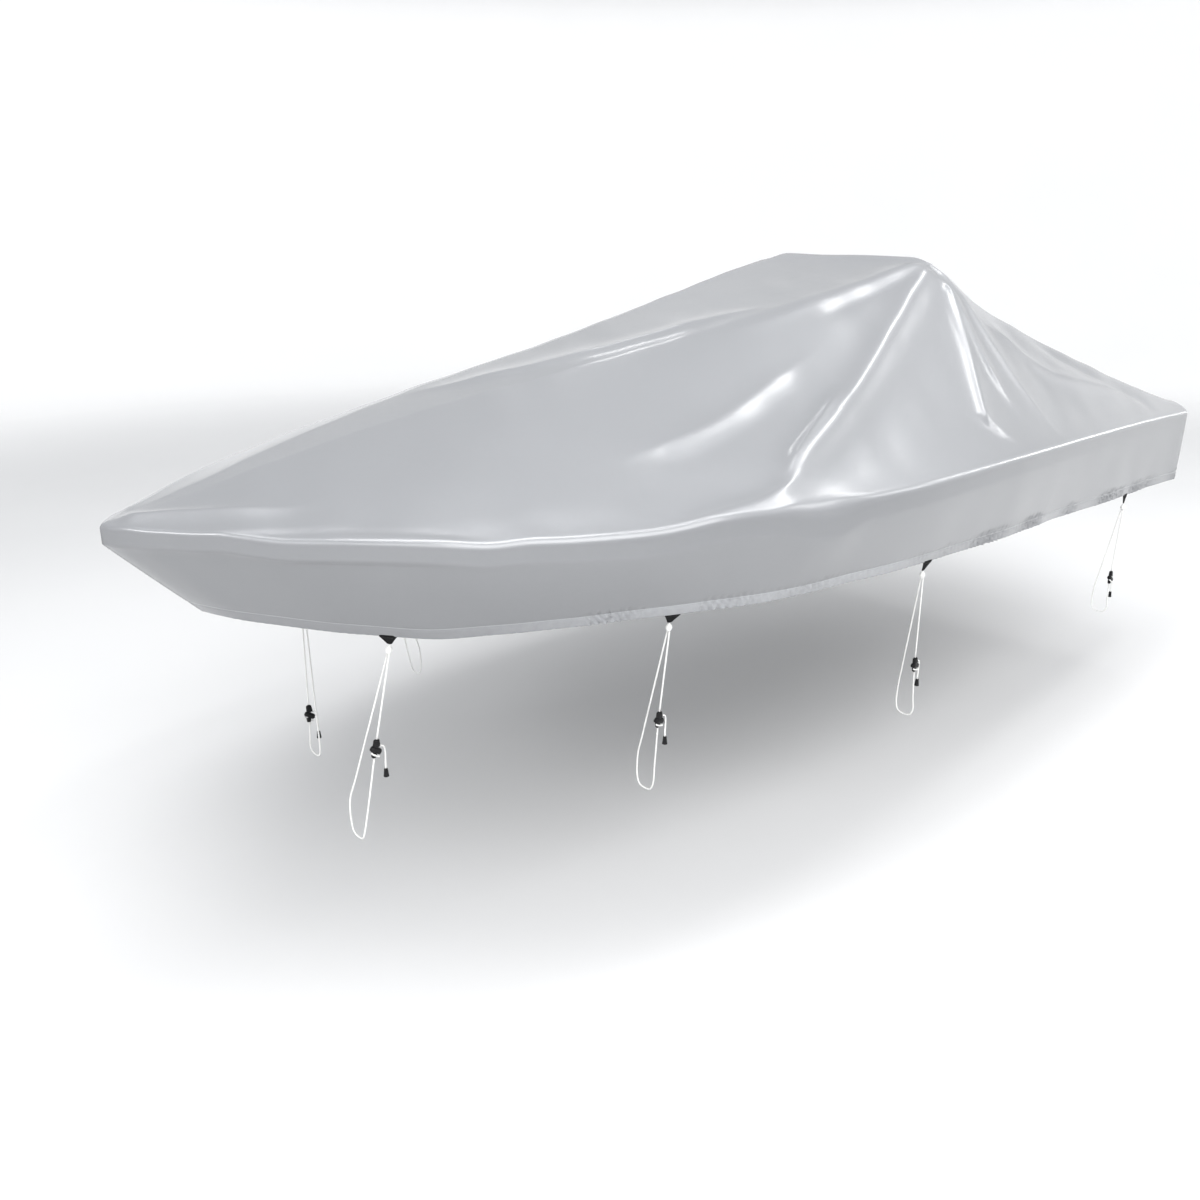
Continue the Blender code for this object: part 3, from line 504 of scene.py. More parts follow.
def gunwale():
    """The whole gunwale as twice as many places as there are columns: plan place,
    outward way, side and the distance along it."""
    x = np.linspace(BOW_X, STERN_X + CORNER_R, 6001)
    corner_y = float(section(STERN_X + CORNER_R, "half_beam")) - CORNER_R
    turn = np.linspace(0.0, math.pi / 2, 200)[1:]
    line = np.concatenate([
        np.column_stack([x, section(x, "half_beam")]),
        np.column_stack([STERN_X + CORNER_R - CORNER_R * np.sin(turn),
                         corner_y + CORNER_R * np.cos(turn)]),
        np.column_stack([np.full(400, STERN_X), np.linspace(corner_y, 0.0, 401)[1:]])])
    length = np.append(0.0, np.cumsum(np.linalg.norm(np.diff(line, axis=0), axis=1)))
    fine = (line[1:, 0] > FINE_REACH[0]) & (line[1:, 0] < FINE_REACH[1])
    halves = []
    for least in (FINE_STEP, STARBOARD_STEP):
        count = np.append(0.0, np.cumsum(np.diff(length) / np.where(fine, least, BROAD_STEP)))
        places = np.linspace(0.0, count[-1], 2 * round(count[-1]) + 1)
        halves.append([np.interp(places, count, column) for column in (*line.T, length)])
    port_x, port_y, port_run = halves[0]
    far_x, far_y, far_run = (column[-2:0:-1] for column in halves[1])
    whole = np.column_stack([np.append(port_x, far_x), np.append(port_y, -far_y)])
    side = np.append(np.ones(len(port_x), int), -np.ones(len(far_x), int))
    run = np.append(port_run, 2 * length[-1] - far_run)
    way = np.roll(whole, -1, axis=0) - np.roll(whole, 1, axis=0)
    way /= np.linalg.norm(way, axis=1)[:, None]
    return whole, np.column_stack([way[:, 1], -way[:, 0]]), side, run


def hips(here):
    """Where each column crosses the hip line, and where it starts on the centre line."""
    stern = here[:, 0] < STERN_X + CORNER_R
    gunwale_x, crossing_x = np.array(FAN)[::-1].T
    hip_x = np.where(stern, HIP_AFT, np.interp(here[:, 0], gunwale_x, crossing_x))
    hip_y = np.clip(section(hip_x, "shoulder"), HIP_LEAST, None)
    hip_y = np.minimum(hip_y, HIP_MOST * abs(here[:, 1])) * np.sign(here[:, 1])
    widest = float(section(STERN_X + CORNER_R, "half_beam"))
    corner_y = min(float(section(HIP_AFT, "shoulder")), HIP_MOST * widest)
    hip_y = np.where(stern, here[:, 1] / widest * corner_y, hip_y)
    spine_x = np.clip(hip_x, SPINE_AFT, SPINE_FORE)
    return np.column_stack([hip_x, hip_y]), np.column_stack([spine_x, 0 * spine_x])


def roll_radius(here, side):
    low, full, end, gone = SOFT_ROLL
    soft = ramp(low, full, here[:, 0]) * (1 - ramp(end, gone, here[:, 0])) * (side > 0)
    return section(here[:, 0], "roll") * (1 - soft) + SOFT_ROLL_R * soft


def roll_start(here, outward, side):
    """Inner edge of the roll over the gunwale, its height, and the deck's slope there."""
    radius = roll_radius(here, side)
    inner = here - outward * radius[:, None]
    for _ in range(2):
        within = inner - outward * SLOPE_PROBE
        rise = deck_height(*within.T) - deck_height(*inner.T)
        slope = np.clip(np.arctan2(rise, SLOPE_PROBE), 0.0, STEEPEST)
        inner = here - outward * (radius * (1 - np.sin(slope)))[:, None]
    return inner, deck_height(*inner.T), slope, radius


def hem_gather(run, x, up):
    """How far the gathered hem stands out, up being the height above its lower edge."""
    size = np.zeros_like(x)
    for fore, aft, depth in GATHERS:
        size += depth * ramp(aft - GATHER_BLEND, aft + GATHER_BLEND, x) \
            * (1 - ramp(fore - GATHER_BLEND, fore + GATHER_BLEND, x))
    drift = unevenness(run, 0 * run, DRIFT_SPANS, 11) * 0.9
    wave = np.sin((run + GATHER_SLANT * up) * math.tau / GATHER_SPACING + 2.2 * drift)
    finer = unevenness(run, 1.4 * up, FINER_SPANS, 17)
    patch = 0.55 + 0.45 * unevenness(run, 0 * run, PATCH_SPANS, 23)
    hold = 1.0 - 0.85 * bell(up - HEM, SEAM_GRIP)
    above = 1.0 - 0.75 * ramp(HEM, HEM + 0.022, up)
    for station in GATHERS_REST_AT:
        size *= 1.0 - 0.9 * bell(x - station, REST_REACH)
    return size * patch * hold * above * (0.75 * wave + 0.45 * finer)


def skirt_places(here, outward, side, run, top, up=None, down=None):
    """Places on the skirt, by the share of its height or the distance above its edge."""
    x = here[:, 0]
    height = top - (section(x, "edge_z") - section(x, "drop"))
    down = 1.0 - up / height if down is None else down
    up = (1.0 - down) * height
    drop = down * height
    below = np.clip((drop - BAND) / (height - BAND), 0.0, 1.0)
    step = section(x, "step")
    lean = step * ramp(BAND - 0.004, BAND + 0.006, drop)
    lean += (section(x, "tuck") - step) * below ** TUCK_BEND
    lean += HEM_PINCH * bell(up - HEM, 0.0040)
    for hand, place, half_width, depth in WAVES:
        lean -= (side == hand) * depth * bell(x - place, half_width) * down ** WAVE_BEND
    lean -= SKIRT_WAVE * unevenness(run, drop, SKIRT_SPANS, 8) * down
    lean -= hem_gather(run, x, up) * ramp(*GATHER_REACH, up)
    shift = RAKE * np.clip(1.0 - (BOW_X - x) / RAKE_REACH, 0.0, None) ** 2 * below
    return np.stack([x - outward[:, 0] * lean - shift, here[:, 1] - outward[:, 1] * lean,
                     top - drop], axis=1)


here, outward, side, run = gunwale()
half = slice(None, None, 2)
hip, spine = hips(here)
inner, inner_z, slope, radius = roll_start(here, outward, side)
edge_top = inner_z - radius * np.cos(slope)
plans = [spine + (hip - spine) * (n / INNER_ROWS) for n in range(INNER_ROWS + 1)]
plans += [hip + (inner - hip) * (1 - (1 - n / OUTER_ROWS) ** OUTER_CROWD)
          for n in range(1, OUTER_ROWS + 1)]
plans = [plan[half] for plan in plans]
plan_z = deck_height(*np.concatenate(plans).T).reshape(len(plans), -1)
cloth_rows = [np.column_stack([plan, z]) for plan, z in zip(plans, plan_z)]
cloth_maps = list(plans)
for n in range(1, ROLL_ROWS + 1):
    turn = slope + (math.pi / 2 - slope) * n / ROLL_ROWS
    out = here - outward * (radius * (1 - np.sin(turn)))[:, None]
    z = inner_z - radius * (np.cos(slope) - np.cos(turn))
    cloth_rows.append(np.column_stack([out, z])[half])
    cloth_maps.append(out[half])
skirt_height = edge_top - (section(here[:, 0], "edge_z") - section(here[:, 0], "drop"))
for share in SKIRT_ROWS:
    placed = skirt_places(here, outward, side, run, edge_top,
                          down=share * (1.0 - SKIRT_LEAST / skirt_height))
    cloth_rows.append(placed[half])
    cloth_maps.append(np.column_stack([run, placed[:, 2]])[half])
for up in HEM_ROWS:
    placed = skirt_places(here, outward, side, run, edge_top, up=up)
    cloth_rows.append(placed)
    cloth_maps.append(np.column_stack([run, placed[:, 2]]))
for up, within in LIP_ROWS:
    placed = skirt_places(here, outward, side, run, edge_top, up=up)
    placed[:, :2] -= outward * within
    cloth_rows.append(placed)
    cloth_maps.append(np.column_stack([run, 2 * placed[-1, 2] - placed[:, 2]]))

starts = np.cumsum([0] + [len(row) for row in cloth_rows])
cloth_faces = []
for n, (row, following) in enumerate(zip(cloth_rows, cloth_rows[1:])):
    more = len(following) // len(row)
    for i in range(len(row)):
        below = [starts[n + 1] + (more * i + k) % len(following) for k in range(more + 1)]
        cloth_faces.append((starts[n] + i, *below, starts[n] + (i + 1) % len(row)))
cloth_data = bpy.data.meshes.new("cover_cloth_sheet")
cloth_data.from_pydata(np.concatenate(cloth_rows), [], cloth_faces)
corner_places = np.empty(len(cloth_data.loops), dtype=np.int32)
cloth_data.loops.foreach_get("vertex_index", corner_places)
cloth_data.uv_layers.new(name="cloth").data.foreach_set(
    "uv", np.concatenate(cloth_maps)[corner_places].ravel())
# Where the hem's painted sheen goes: full on the hem rows from about x 1.2 to 1.9, a quarter aft, a
# tenth at the bow.
hem_sheen_share = np.zeros(starts[-1])
hem_start = starts[len(cloth_rows) - len(HEM_ROWS) - len(LIP_ROWS) + 2]
hem_x = np.concatenate(cloth_rows)[hem_start:, 0]
hem_sheen_share[hem_start:] = (0.25 + 0.75 * ramp(0.7, 1.2, hem_x)) * (1 - 0.9 * ramp(1.9, 2.4, hem_x))
cloth_data.attributes.new("hem", "FLOAT", "POINT").data.foreach_set("value", hem_sheen_share)
closed_tips = bmesh.new()
closed_tips.from_mesh(cloth_data)
bmesh.ops.remove_doubles(closed_tips, verts=closed_tips.verts[:], dist=2e-5)
closed_tips.to_mesh(cloth_data)
closed_tips.free()
cloth_data.shade_smooth()

cloth_finish = Finish("silver coated polyester", "silver_polyester", Metallic=0.25,
                      Coat_Weight=0.8, Coat_Roughness=0.18)
soft_tone = cloth_finish.noise(1.1, 2.0)
fine_tone = cloth_finish.noise(75.0, 3.0, 0.6)
# Painted sheen: the hem is tinted paler, in upright streaks, for the light that its crinkles catch.
in_hem_sheen = cloth_finish.node("ShaderNodeAttribute", {"attribute_name": "hem"}, output=2)
sheen_streaks = cloth_finish.noise(60.0, 3.0, 0.6, stretch=(1.0, 1.0, 0.35))
cloth_tone = cloth_finish.blend(soft_tone * 0.7 + fine_tone * 0.3, *CLOTH_GREYS)
cloth_finish.tint(in_hem_sheen * (0.35 + 0.65 * sheen_streaks), cloth_tone, HEM_SHEEN_GREY)
cloth_finish.feed("Roughness", 0.30 + 0.10 * cloth_finish.noise(3.5, 3.0))
warp, weft = (distance * (math.tau / WEAVE) for distance in cloth_finish.flat("cloth"))
weave = warp.sine() * weft.sine()
crumple = cloth_finish.noise(26.0, 3.0, 0.55)
cloth_finish.bump(weave * 0.03 + crumple * 0.35, 0.0008)


def fix_on(name, data, finish, solid=None):
    """A finished piece of the cover, in place of its solid where it has one."""
    piece = add_mesh(name, data, finish)
    if solid:
        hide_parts(solid)
    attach(piece, "root")
    return piece


cloth = fix_on("cover_cloth_sheet", cloth_data, cloth_finish, "cover_cloth")

# ------------------------------------------------------------- the hem's stitches
# One row of lockstitch in pale grey thread closes the hem's channel over its
# elastic cord. Each stitch is a short arched thread that lies on the cloth.

STITCH_LENGTH = 0.0046
STITCH_SPACING = 0.0062
STITCH_ARCH = 0.0004
THREAD_R = 0.00045
STITCH_LIFT = 0.6         # how high a thread's middle lies above the cloth, for its radius
STITCH_SIDES = 5
STITCH_BENDS = 3


class Tree(Nodes):
    """A Geometry Nodes tree with named inputs, which grows a piece along a path."""

    def __init__(self, name, inputs):
        self.tree = bpy.data.node_groups.new(name, "GeometryNodeTree")
        self.values = {}
        inputs = {"Geometry": ("NodeSocketGeometry", None), **inputs}
        for title, (kind, value) in inputs.items():
            made = self.tree.interface.new_socket(title, in_out="INPUT", socket_type=kind)
            self.values[made.identifier] = value
        self.tree.interface.new_socket("Geometry", in_out="OUTPUT",
                                       socket_type="NodeSocketGeometry")
        start = self.tree.nodes.new("NodeGroupInput")
        self.given = [Term(self, made) for made in start.outputs[:len(inputs)]]

    def finish(self, geometry, surface):
        whole = self.node("GeometryNodeRealizeInstances", (), {0: geometry})
        dressed = self.node("GeometryNodeSetMaterial", (), {0: whole, "Material": surface})
        end = self.tree.nodes.new("NodeGroupOutput")
        self.tree.links.new(dressed.socket, end.inputs[0])

    def grow(self, name, path):
        """A plain mesh of what the tree makes along a path."""
        holder = add_mesh(name + "_path", path)
        modifier = holder.modifiers.new("grow", "NODES")
        modifier.node_group = self.tree
        for identifier, value in self.values.items():
            if value is not None:
                modifier[identifier] = value
        settled = holder.evaluated_get(bpy.context.evaluated_depsgraph_get())
        grown = bpy.data.meshes.new_from_object(settled)
        grown.name = name
        bpy.data.objects.remove(holder, do_unlink=True)
        return grown


def stitch_tree(finish):
    """Arched threads laid along a path, flat side to the cloth."""
    tree = Tree("stitches", {
        "Length": ("NodeSocketFloat", STITCH_LENGTH), "Spacing": ("NodeSocketFloat", STITCH_SPACING),
        "Arch": ("NodeSocketFloat", STITCH_ARCH), "Thread": ("NodeSocketFloat", THREAD_R),
        "Surface": ("NodeSocketMaterial", finish.material)})
    node = tree.node
    path, length, spacing, arch, thread_r, surface = tree.given
    half = length * 0.5
    start, end = (node("ShaderNodeCombineXYZ", (), {0: part}) for part in (half * -1.0, half))
    top = node("ShaderNodeCombineXYZ", (), {2: arch * 2.0})
    bend = node("GeometryNodeCurveQuadraticBezier", (), {
        "Resolution": STITCH_BENDS, "Start": start, "Middle": top, "End": end})
    round_way = node("GeometryNodeCurvePrimitiveCircle", (), {
        "Resolution": STITCH_SIDES, "Radius": thread_r})
    thread = node("GeometryNodeCurveToMesh", (), {
        "Curve": bend, "Profile Curve": round_way, "Fill Caps": True})
    line = node("GeometryNodeMeshToCurve", (), {0: path})
    places = node("GeometryNodeResampleCurve", {"mode": "LENGTH"}, {
        "Curve": line, "Length": spacing})
    out = node("GeometryNodeInputNamedAttribute", {"data_type": "FLOAT_VECTOR"}, {"Name": "out"})
    turned = node("FunctionNodeAlignRotationToVector", {"axis": "X"},
                  {"Vector": node("GeometryNodeInputTangent")})
    laid = node("FunctionNodeAlignRotationToVector", {"axis": "Z", "pivot_axis": "X"},
                {"Rotation": turned, "Vector": out})
    sewn = node("GeometryNodeInstanceOnPoints", (), {
        "Points": places, "Instance": thread, "Rotation": laid})
    tree.finish(sewn, surface)
    return tree


def stitch_path(name, places, out, closed=False):
    """A line of places that carries the way out of the cloth at each."""
    path = bpy.data.meshes.new(name)
    count = len(places)
    edges = [(i, (i + 1) % count) for i in range(count if closed else count - 1)]
    path.from_pydata([tuple(place) for place in places], edges, [])
    layer = path.attributes.new("out", "FLOAT_VECTOR", "POINT")
    layer.data.foreach_set("vector", np.asarray(out, dtype=float).ravel())
    return path


thread_finish = Finish("pale grey sewing thread", "silver_polyester", Roughness=0.55)
thread_tone = thread_finish.noise(240.0, 2.0)
thread_finish.tint(thread_tone, (0.50, 0.51, 0.53), (0.64, 0.65, 0.67))
thread_finish.bump(thread_tone, 0.0003, 0.5)

sewn_places = skirt_places(here, outward, side, run, edge_top, up=HEM)
sewn_out = np.column_stack([outward, 0 * run])
hem_line = stitch_path("hem_line", sewn_places + sewn_out * THREAD_R * STITCH_LIFT, sewn_out,
                       closed=True)
hem_thread = stitch_tree(thread_finish).grow("hem_stitches", hem_line)
stitches = fix_on("hem_stitches", hem_thread, thread_finish)

# ---------------------------------------------------------------- webbing tabs
# Eight triangles of black polyester webbing are sewn into the hem, point down,
# to take the ties. Each is folded from a 50 mm strip and lies in the plane of
# the cloth.

# Each tie's name and side, the place of its tab along the boat, the outer face of
# the rail that it goes around, and how far along the way there its lock grips.
TIES = (
    ("port_1", 1, 2.565, 2.455, 0.275, -1.440, 0.515),
    ("port_2", 1, 1.825, 1.690, 0.620, -1.440, 0.550),
    ("port_3", 1, 0.79, 0.680, 0.865, -1.440, 0.630),
    ("port_4", 1, -0.90, -0.800, 0.885, -1.430, 0.680),
    ("starboard_1", -1, 2.310, 2.300, 0.290, -1.440, 0.820),
    ("starboard_2", -1, 1.795, 1.700, 0.620, -1.440, 0.570),
    ("starboard_3", -1, 0.79, 0.690, 0.865, -1.440, 0.610),
    ("starboard_4", -1, -0.90, -0.810, 0.885, -1.430, 0.660),
)
GAP = 0.0003              # clearance between pieces that touch
TAB_TOP = 0.050
TAB_HEIGHT = 0.036
TAB_THICK = 0.002
TAB_TUCK = 0.005          # how far it reaches up inside the hem
KNOT_LENGTH = 0.024
KNOT_SEAT = 0.0010
# Half width of the tab at places down from the hem's edge.
TAB_SHAPE = ((-TAB_TUCK, 0.0212), (0.0, 0.0232), (0.0035, 0.0228), (0.009, 0.0196),
             (0.016, 0.0158), (0.023, 0.0122), (0.029, 0.0094), (0.033, 0.0078),
             (0.0352, 0.0062), (TAB_HEIGHT, 0.0035))
TAB_ACROSS = 12
RIB_TURNS = math.tau / 0.0021   # the webbing's ribs are 2.1 mm apart
TAB_SQUARE = (0.35, 0.45)  # how square its section is, across and through
TACK_ROWS = (0.0042, 0.0075)
TACK_INSET = 0.0035       # the stitches stop short of its sides
TACK_LIFT = 0.4
HEM_PROBE = 0.016         # height over which the skirt's lean at a tab is taken


def hem_frame(hand, station):
    """Hem edge at a tab, with the ways along it, down the skirt and outward."""
    same = np.flatnonzero((side == hand) & (here[:, 0] > STERN_X + CORNER_R))
    order = same[np.argsort(here[same, 0])]
    columns = np.column_stack([here, outward, run, edge_top])[order].T
    ends = []
    for x in (station + TAB_TOP / 2, station - TAB_TOP / 2):
        near = np.array([[np.interp(x, columns[0], column)] for column in columns])
        ends.append([Vector(skirt_places(near[:2].T, near[2:4].T, hand, *near[4:], up=up)[0])
                     for up in (0.0, HEM_PROBE)])
    (fore, fore_up), (aft, aft_up) = ends
    along = (fore - aft).normalized()
    down = ((fore - fore_up) + (aft - aft_up)).normalized()
    down = (down - along * down.dot(along)).normalized()
    return (fore + aft) / 2, along, down, along.cross(down) * hand


def tie_places(name, hand, station, rail_x, rail_y, rail_z, grip):
    """Main places of one tie-down, from its tab down around the rail."""
    middle, along, down, out = hem_frame(hand, station)
    tip = middle + down * (GAP + TAB_HEIGHT) - out * TAB_THICK / 2
    rail = Vector((rail_x, rail_y * hand, rail_z))
    pull = (rail - tip).normalized()
    knot = tip + pull * (KNOT_SEAT + KNOT_LENGTH / 2)
    outward, aft = Vector((0.0, hand, 0.0)), Vector((-1.0, 0.0, 0.0))
    across, aft = ((way - pull * way.dot(pull)).normalized() for way in (outward, aft))
    return SimpleNamespace(
        name=name, middle=middle, along=along, down=down, out=out, knot=knot, rail=rail,
        pull=pull, outward=outward, across=across, aft=aft,
        face=pull.cross(aft).normalized() * hand, lock=knot.lerp(rail, grip))


def loft(name, rings, maps):
    """A closed surface through rings of places, each ring given once round."""
    shape = bmesh.new()
    layer = shape.loops.layers.uv.new("along")
    made = [[shape.verts.new(place) for place in ring] for ring in rings]
    for n, (upper, lower) in enumerate(zip(made, made[1:])):
        count = len(upper)
        for i in range(count):
            j = (i + 1) % count
            face = shape.faces.new((upper[i], upper[j], lower[j], lower[i]))
            corners = ((n, i), (n, i + 1), (n + 1, i + 1), (n + 1, i))
            for loop, (ring, step) in zip(face.loops, corners):
                loop[layer].uv = (maps[ring], step / count)
    shape.faces.new(made[0])
    shape.faces.new(made[-1][::-1])
    bmesh.ops.recalc_face_normals(shape, faces=shape.faces[:])
    return smooth_mesh(name, shape)


def tab_rings(at):
    """Rounded flat cross-sections of a tab, from inside the hem down to its point."""
    top = at.middle + at.down * GAP - at.out * TAB_THICK / 2
    rings = []
    for drop, half_width in TAB_SHAPE:
        ring = []
        for i in range(2 * TAB_ACROSS):
            turn = math.pi * i / TAB_ACROSS
            flat, thick = (math.copysign(abs(part) ** square, part) for part, square in
                           zip((math.cos(turn), math.sin(turn)), TAB_SQUARE))
            swell = TAB_THICK / 2 * (1 - 0.25 * abs(flat) ** 6)
            ring.append(top + at.down * drop + at.along * half_width * flat
                        + at.out * swell * thick)
        rings.append(ring)
    return rings


webbing_finish = Finish("black polyester webbing", "black_webbing", Roughness=0.72,
                        Specular_IOR_Level=0.12)
fibre = webbing_finish.noise(420.0, 2.0)
web_x, web_y, web_z = webbing_finish.parts(webbing_finish.place())
ribs = ((web_x + web_y * 0.35) * RIB_TURNS).sine() * (web_z * RIB_TURNS).sine()
# Painted shade: the webbing's colour follows the relief of its ribs and fibres, darker in the troughs.
webbing_finish.tint(fibre * 0.6 + (ribs * 0.2 + 0.2), (0.003, 0.003, 0.0035), (0.012, 0.012, 0.013))
webbing_finish.bump(ribs * 0.5 + fibre * 0.5, 0.0006, 0.8)
tack_finish = Finish("black sewing thread", "black_webbing", Roughness=0.6)
tack_finish.tint(tack_finish.noise(300.0), (0.006, 0.006, 0.007), (0.022, 0.022, 0.023))
tack_tree = stitch_tree(tack_finish)

ties = [tie_places(*row) for row in TIES]
for tie in ties:
    name = tie.name + "_tab"
    tab_data = loft(name, tab_rings(tie), [drop for drop, _ in TAB_SHAPE])
    fix_on(name, tab_data, webbing_finish, "tie_" + name)
    for n, drop in enumerate(TACK_ROWS, 1):
        half_width = np.interp(drop, *np.array(TAB_SHAPE).T) - TACK_INSET
        face = tie.middle + tie.down * (GAP + drop) + tie.out * THREAD_R * TACK_LIFT
        sewn = stitch_path("sewn_row", [face + tie.along * share * half_width
                                        for share in (-1.0, 0.0, 1.0)], [tie.out] * 3)
        tack = f"{name}_tack_{n}"
        fix_on(tack, tack_tree.grow(tack, sewn), tack_finish)

# ------------------------------------------------------------------- the cords
# Each tie is one 5 mm braided white cord. It is knotted through the tab, runs
# down around the trailer's rail, comes back up through a cord lock and ends in
# a free tail with a toggle. The ties are pulled tight.

CORD_R = 0.0025
CORD_SIDES = 12
CORD_SEAT = 0.0006
CORD_APART = 0.0034
RAIL_WIDTH = 0.050
RAIL_HEIGHT = 0.090
RAIL_CLEAR = 0.004
RAIL_BEND = 0.012
LOCK_SLOT = 0.0275
TAIL_EXIT = 0.0126
TAIL_EXIT_UP = 0.0056
# The tail's places aft of the lock and down from it, and those of the line's turn
# under the lock's bar: aft, out of the lock's face and up.
TAIL = ((0.0, 0.0), (0.006, 0.0), (0.012, 0.005), (0.015, 0.020), (0.014, 0.045), (0.0136, 0.070))
WRAP = ((-0.0125, 0.0030, -0.0100), (-0.0110, 0.0062, -0.0120), (-0.0040, 0.0080, -0.0160),
        (0.0040, 0.0080, -0.0195), (0.0110, 0.0060, -0.0225), (0.0125, 0.0025, -0.0225))
# The knot's radius at places down from its top.
KNOT = ((0.0012, 0.0), (0.0030, 0.0022), (0.0060, 0.0060), (0.0084, 0.0095), (0.0094, 0.0125),
        (0.0096, 0.0150), (0.0090, 0.0185), (0.0078, 0.0215), (0.0066, KNOT_LENGTH))
KNOT_RINGS = 30
KNOT_SIDES = 36
WRAP_PITCH = 0.0056       # height between the turns of cord that make the knot
WRAP_DEPTH = 0.0010
KNOT_FLAT = 0.92          # its breadth across, for one along
KNOT_LEAN = 0.30          # how far its turns lean, for one turn's height
BRAID = 0.0052            # length of one crossing of the braid's strands
BRAID_PAIRS = 4.0


def through(points, per_span):
    """Places on a smooth curve through a route's own points, closer where they are."""
    marks = [Vector(p) for p in points]
    marks = [marks[0] * 2 - marks[1]] + marks + [marks[-1] * 2 - marks[-2]]
    places = []
    for a, b, c, d in zip(marks, marks[1:], marks[2:], marks[3:]):
        tb = (b - a).length ** 0.5
        tc = tb + (c - b).length ** 0.5
        td = tc + (d - c).length ** 0.5
        for i in range(per_span):
            t = tb + (tc - tb) * i / per_span
            ab = a * ((tb - t) / tb) + b * (t / tb)
            bc = b * ((tc - t) / (tc - tb)) + c * ((t - tb) / (tc - tb))
            cd = c * ((td - t) / (td - tc)) + d * ((t - tc) / (td - tc))
            abc = ab * ((tc - t) / tc) + bc * (t / tc)
            bcd = bc * ((td - t) / (td - tb)) + cd * ((t - tb) / (td - tb))
            places.append(abc * ((tc - t) / (tc - tb)) + bcd * ((t - tb) / (tc - tb)))
    return places + [marks[-2]]


def cord_tube(name, path):
    """Round cord along a path, its map's first distance in metres."""
    up = (path[1] - path[0]).normalized().orthogonal().normalized()
    rings, run_along = [], [0.0]
    for before, place, after in zip([path[0]] + path, path, path[1:] + [path[-1]]):
        way = (after - before).normalized()
        up = (up - way * up.dot(way)).normalized()
        beside = way.cross(up)
        turns = [math.tau * i / CORD_SIDES for i in range(CORD_SIDES)]
        rings.append([place + (up * math.cos(t) + beside * math.sin(t)) * CORD_R for t in turns])
        run_along.append(run_along[-1] + (place - before).length)
    return loft(name, rings, run_along[1:]), run_along[-1]


def line_route(at):
    """Long line: knot, down behind the rail, under it and up to the lock."""
    start = at.knot + at.pull * (KNOT_LENGTH / 2 + CORD_SEAT) - at.across * CORD_APART
    away = at.outward * (CORD_R + RAIL_CLEAR)
    outer = at.rail + away
    inner = at.rail - at.outward * RAIL_WIDTH - away
    inner_top = inner + Vector((0.0, 0.0, RAIL_HEIGHT))
    under = Vector((0.0, 0.0, -away.length))
    bend = Vector((0.0, 0.0, RAIL_BEND))
    end = at.lock + at.pull * (LOCK_SLOT + GAP)
    return (start, start.lerp(inner_top, 0.5), start.lerp(inner_top, 0.85), inner_top,
            inner + bend, inner + under + at.outward * RAIL_BEND,
            outer + under - at.outward * RAIL_BEND, outer + bend,
            outer.lerp(end, 0.4), end)


def fall_route(at):
    """Short line: knot to the top of the lock."""
    start = at.knot + at.pull * (KNOT_LENGTH / 2 + CORD_SEAT) + at.across * CORD_APART
    end = at.lock - at.pull * (LOCK_SLOT + GAP)
    return (start, start.lerp(end, 0.33), start.lerp(end, 0.67), end)


def tail_route(at):
    """Free tail: out of the lock's after side, over and down to its toggle."""
    start = at.lock + at.aft * TAIL_EXIT - at.pull * TAIL_EXIT_UP
    return [start + at.aft * aft - Vector((0.0, 0.0, drop)) for aft, drop in TAIL]


def wrap_route(at):
    """The turn of the line that shows under the lock's slanted bar."""
    return [at.lock + at.aft * aft + at.face * face - at.pull * up
            for aft, face, up in WRAP]


def knot_rings(at):
    """A pear of cord turns, narrow at the tab and flat where its two cords leave."""
    top = at.knot - at.pull * (KNOT_LENGTH / 2)
    beside = at.pull.cross(at.across)
    shape = np.array(KNOT)
    rings = []
    for n in range(KNOT_RINGS + 1):
        down = KNOT_LENGTH * n / KNOT_RINGS
        radius = np.interp(down, shape[:, 1], shape[:, 0])
        swell = math.sin(math.pi * n / KNOT_RINGS) ** 0.5
        ring = []
        for i in range(KNOT_SIDES):
            turn = math.tau * i / KNOT_SIDES
            lean = KNOT_LEAN * math.sin(turn + 0.6)
            groove = abs(math.sin(math.pi * (down / WRAP_PITCH + lean)))
            full = radius - WRAP_DEPTH * swell * (1 - groove) ** 1.5
            flat = at.across * math.cos(turn) * KNOT_FLAT + beside * math.sin(turn)
            ring.append(top + at.pull * down + flat * full)
        rings.append(ring)
    return rings


def tie_cord(tie, part, route, per_span):
    """One stretch of a tie's cord."""
    name = f"{tie.name}_{part}"
    path = through(route, per_span)
    data, length = cord_tube(name, path)
    cord = fix_on(name, data, cord_finish, "tie_" + name)
    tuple(path[0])


cord_finish = Finish("white braided cord", "white_cord", Roughness=0.62)
along, around = cord_finish.flat("along")
one_way = ((along / BRAID + around * BRAID_PAIRS) * math.pi).sine().size()
other_way = ((along / BRAID - around * BRAID_PAIRS) * math.pi).sine().size()
braid = one_way.larger(other_way)
cord_tone = cord_finish.noise(55.0, 2.0)
# Painted shade: the cord's colour follows the braid's relief, darker in the grooves between strands
# and paler on their tops.
cord_finish.tint(braid * 0.7 + cord_tone * 0.3, (0.58, 0.58, 0.57), (0.90, 0.90, 0.88))
cord_finish.bump(braid, 0.0007, 0.8)

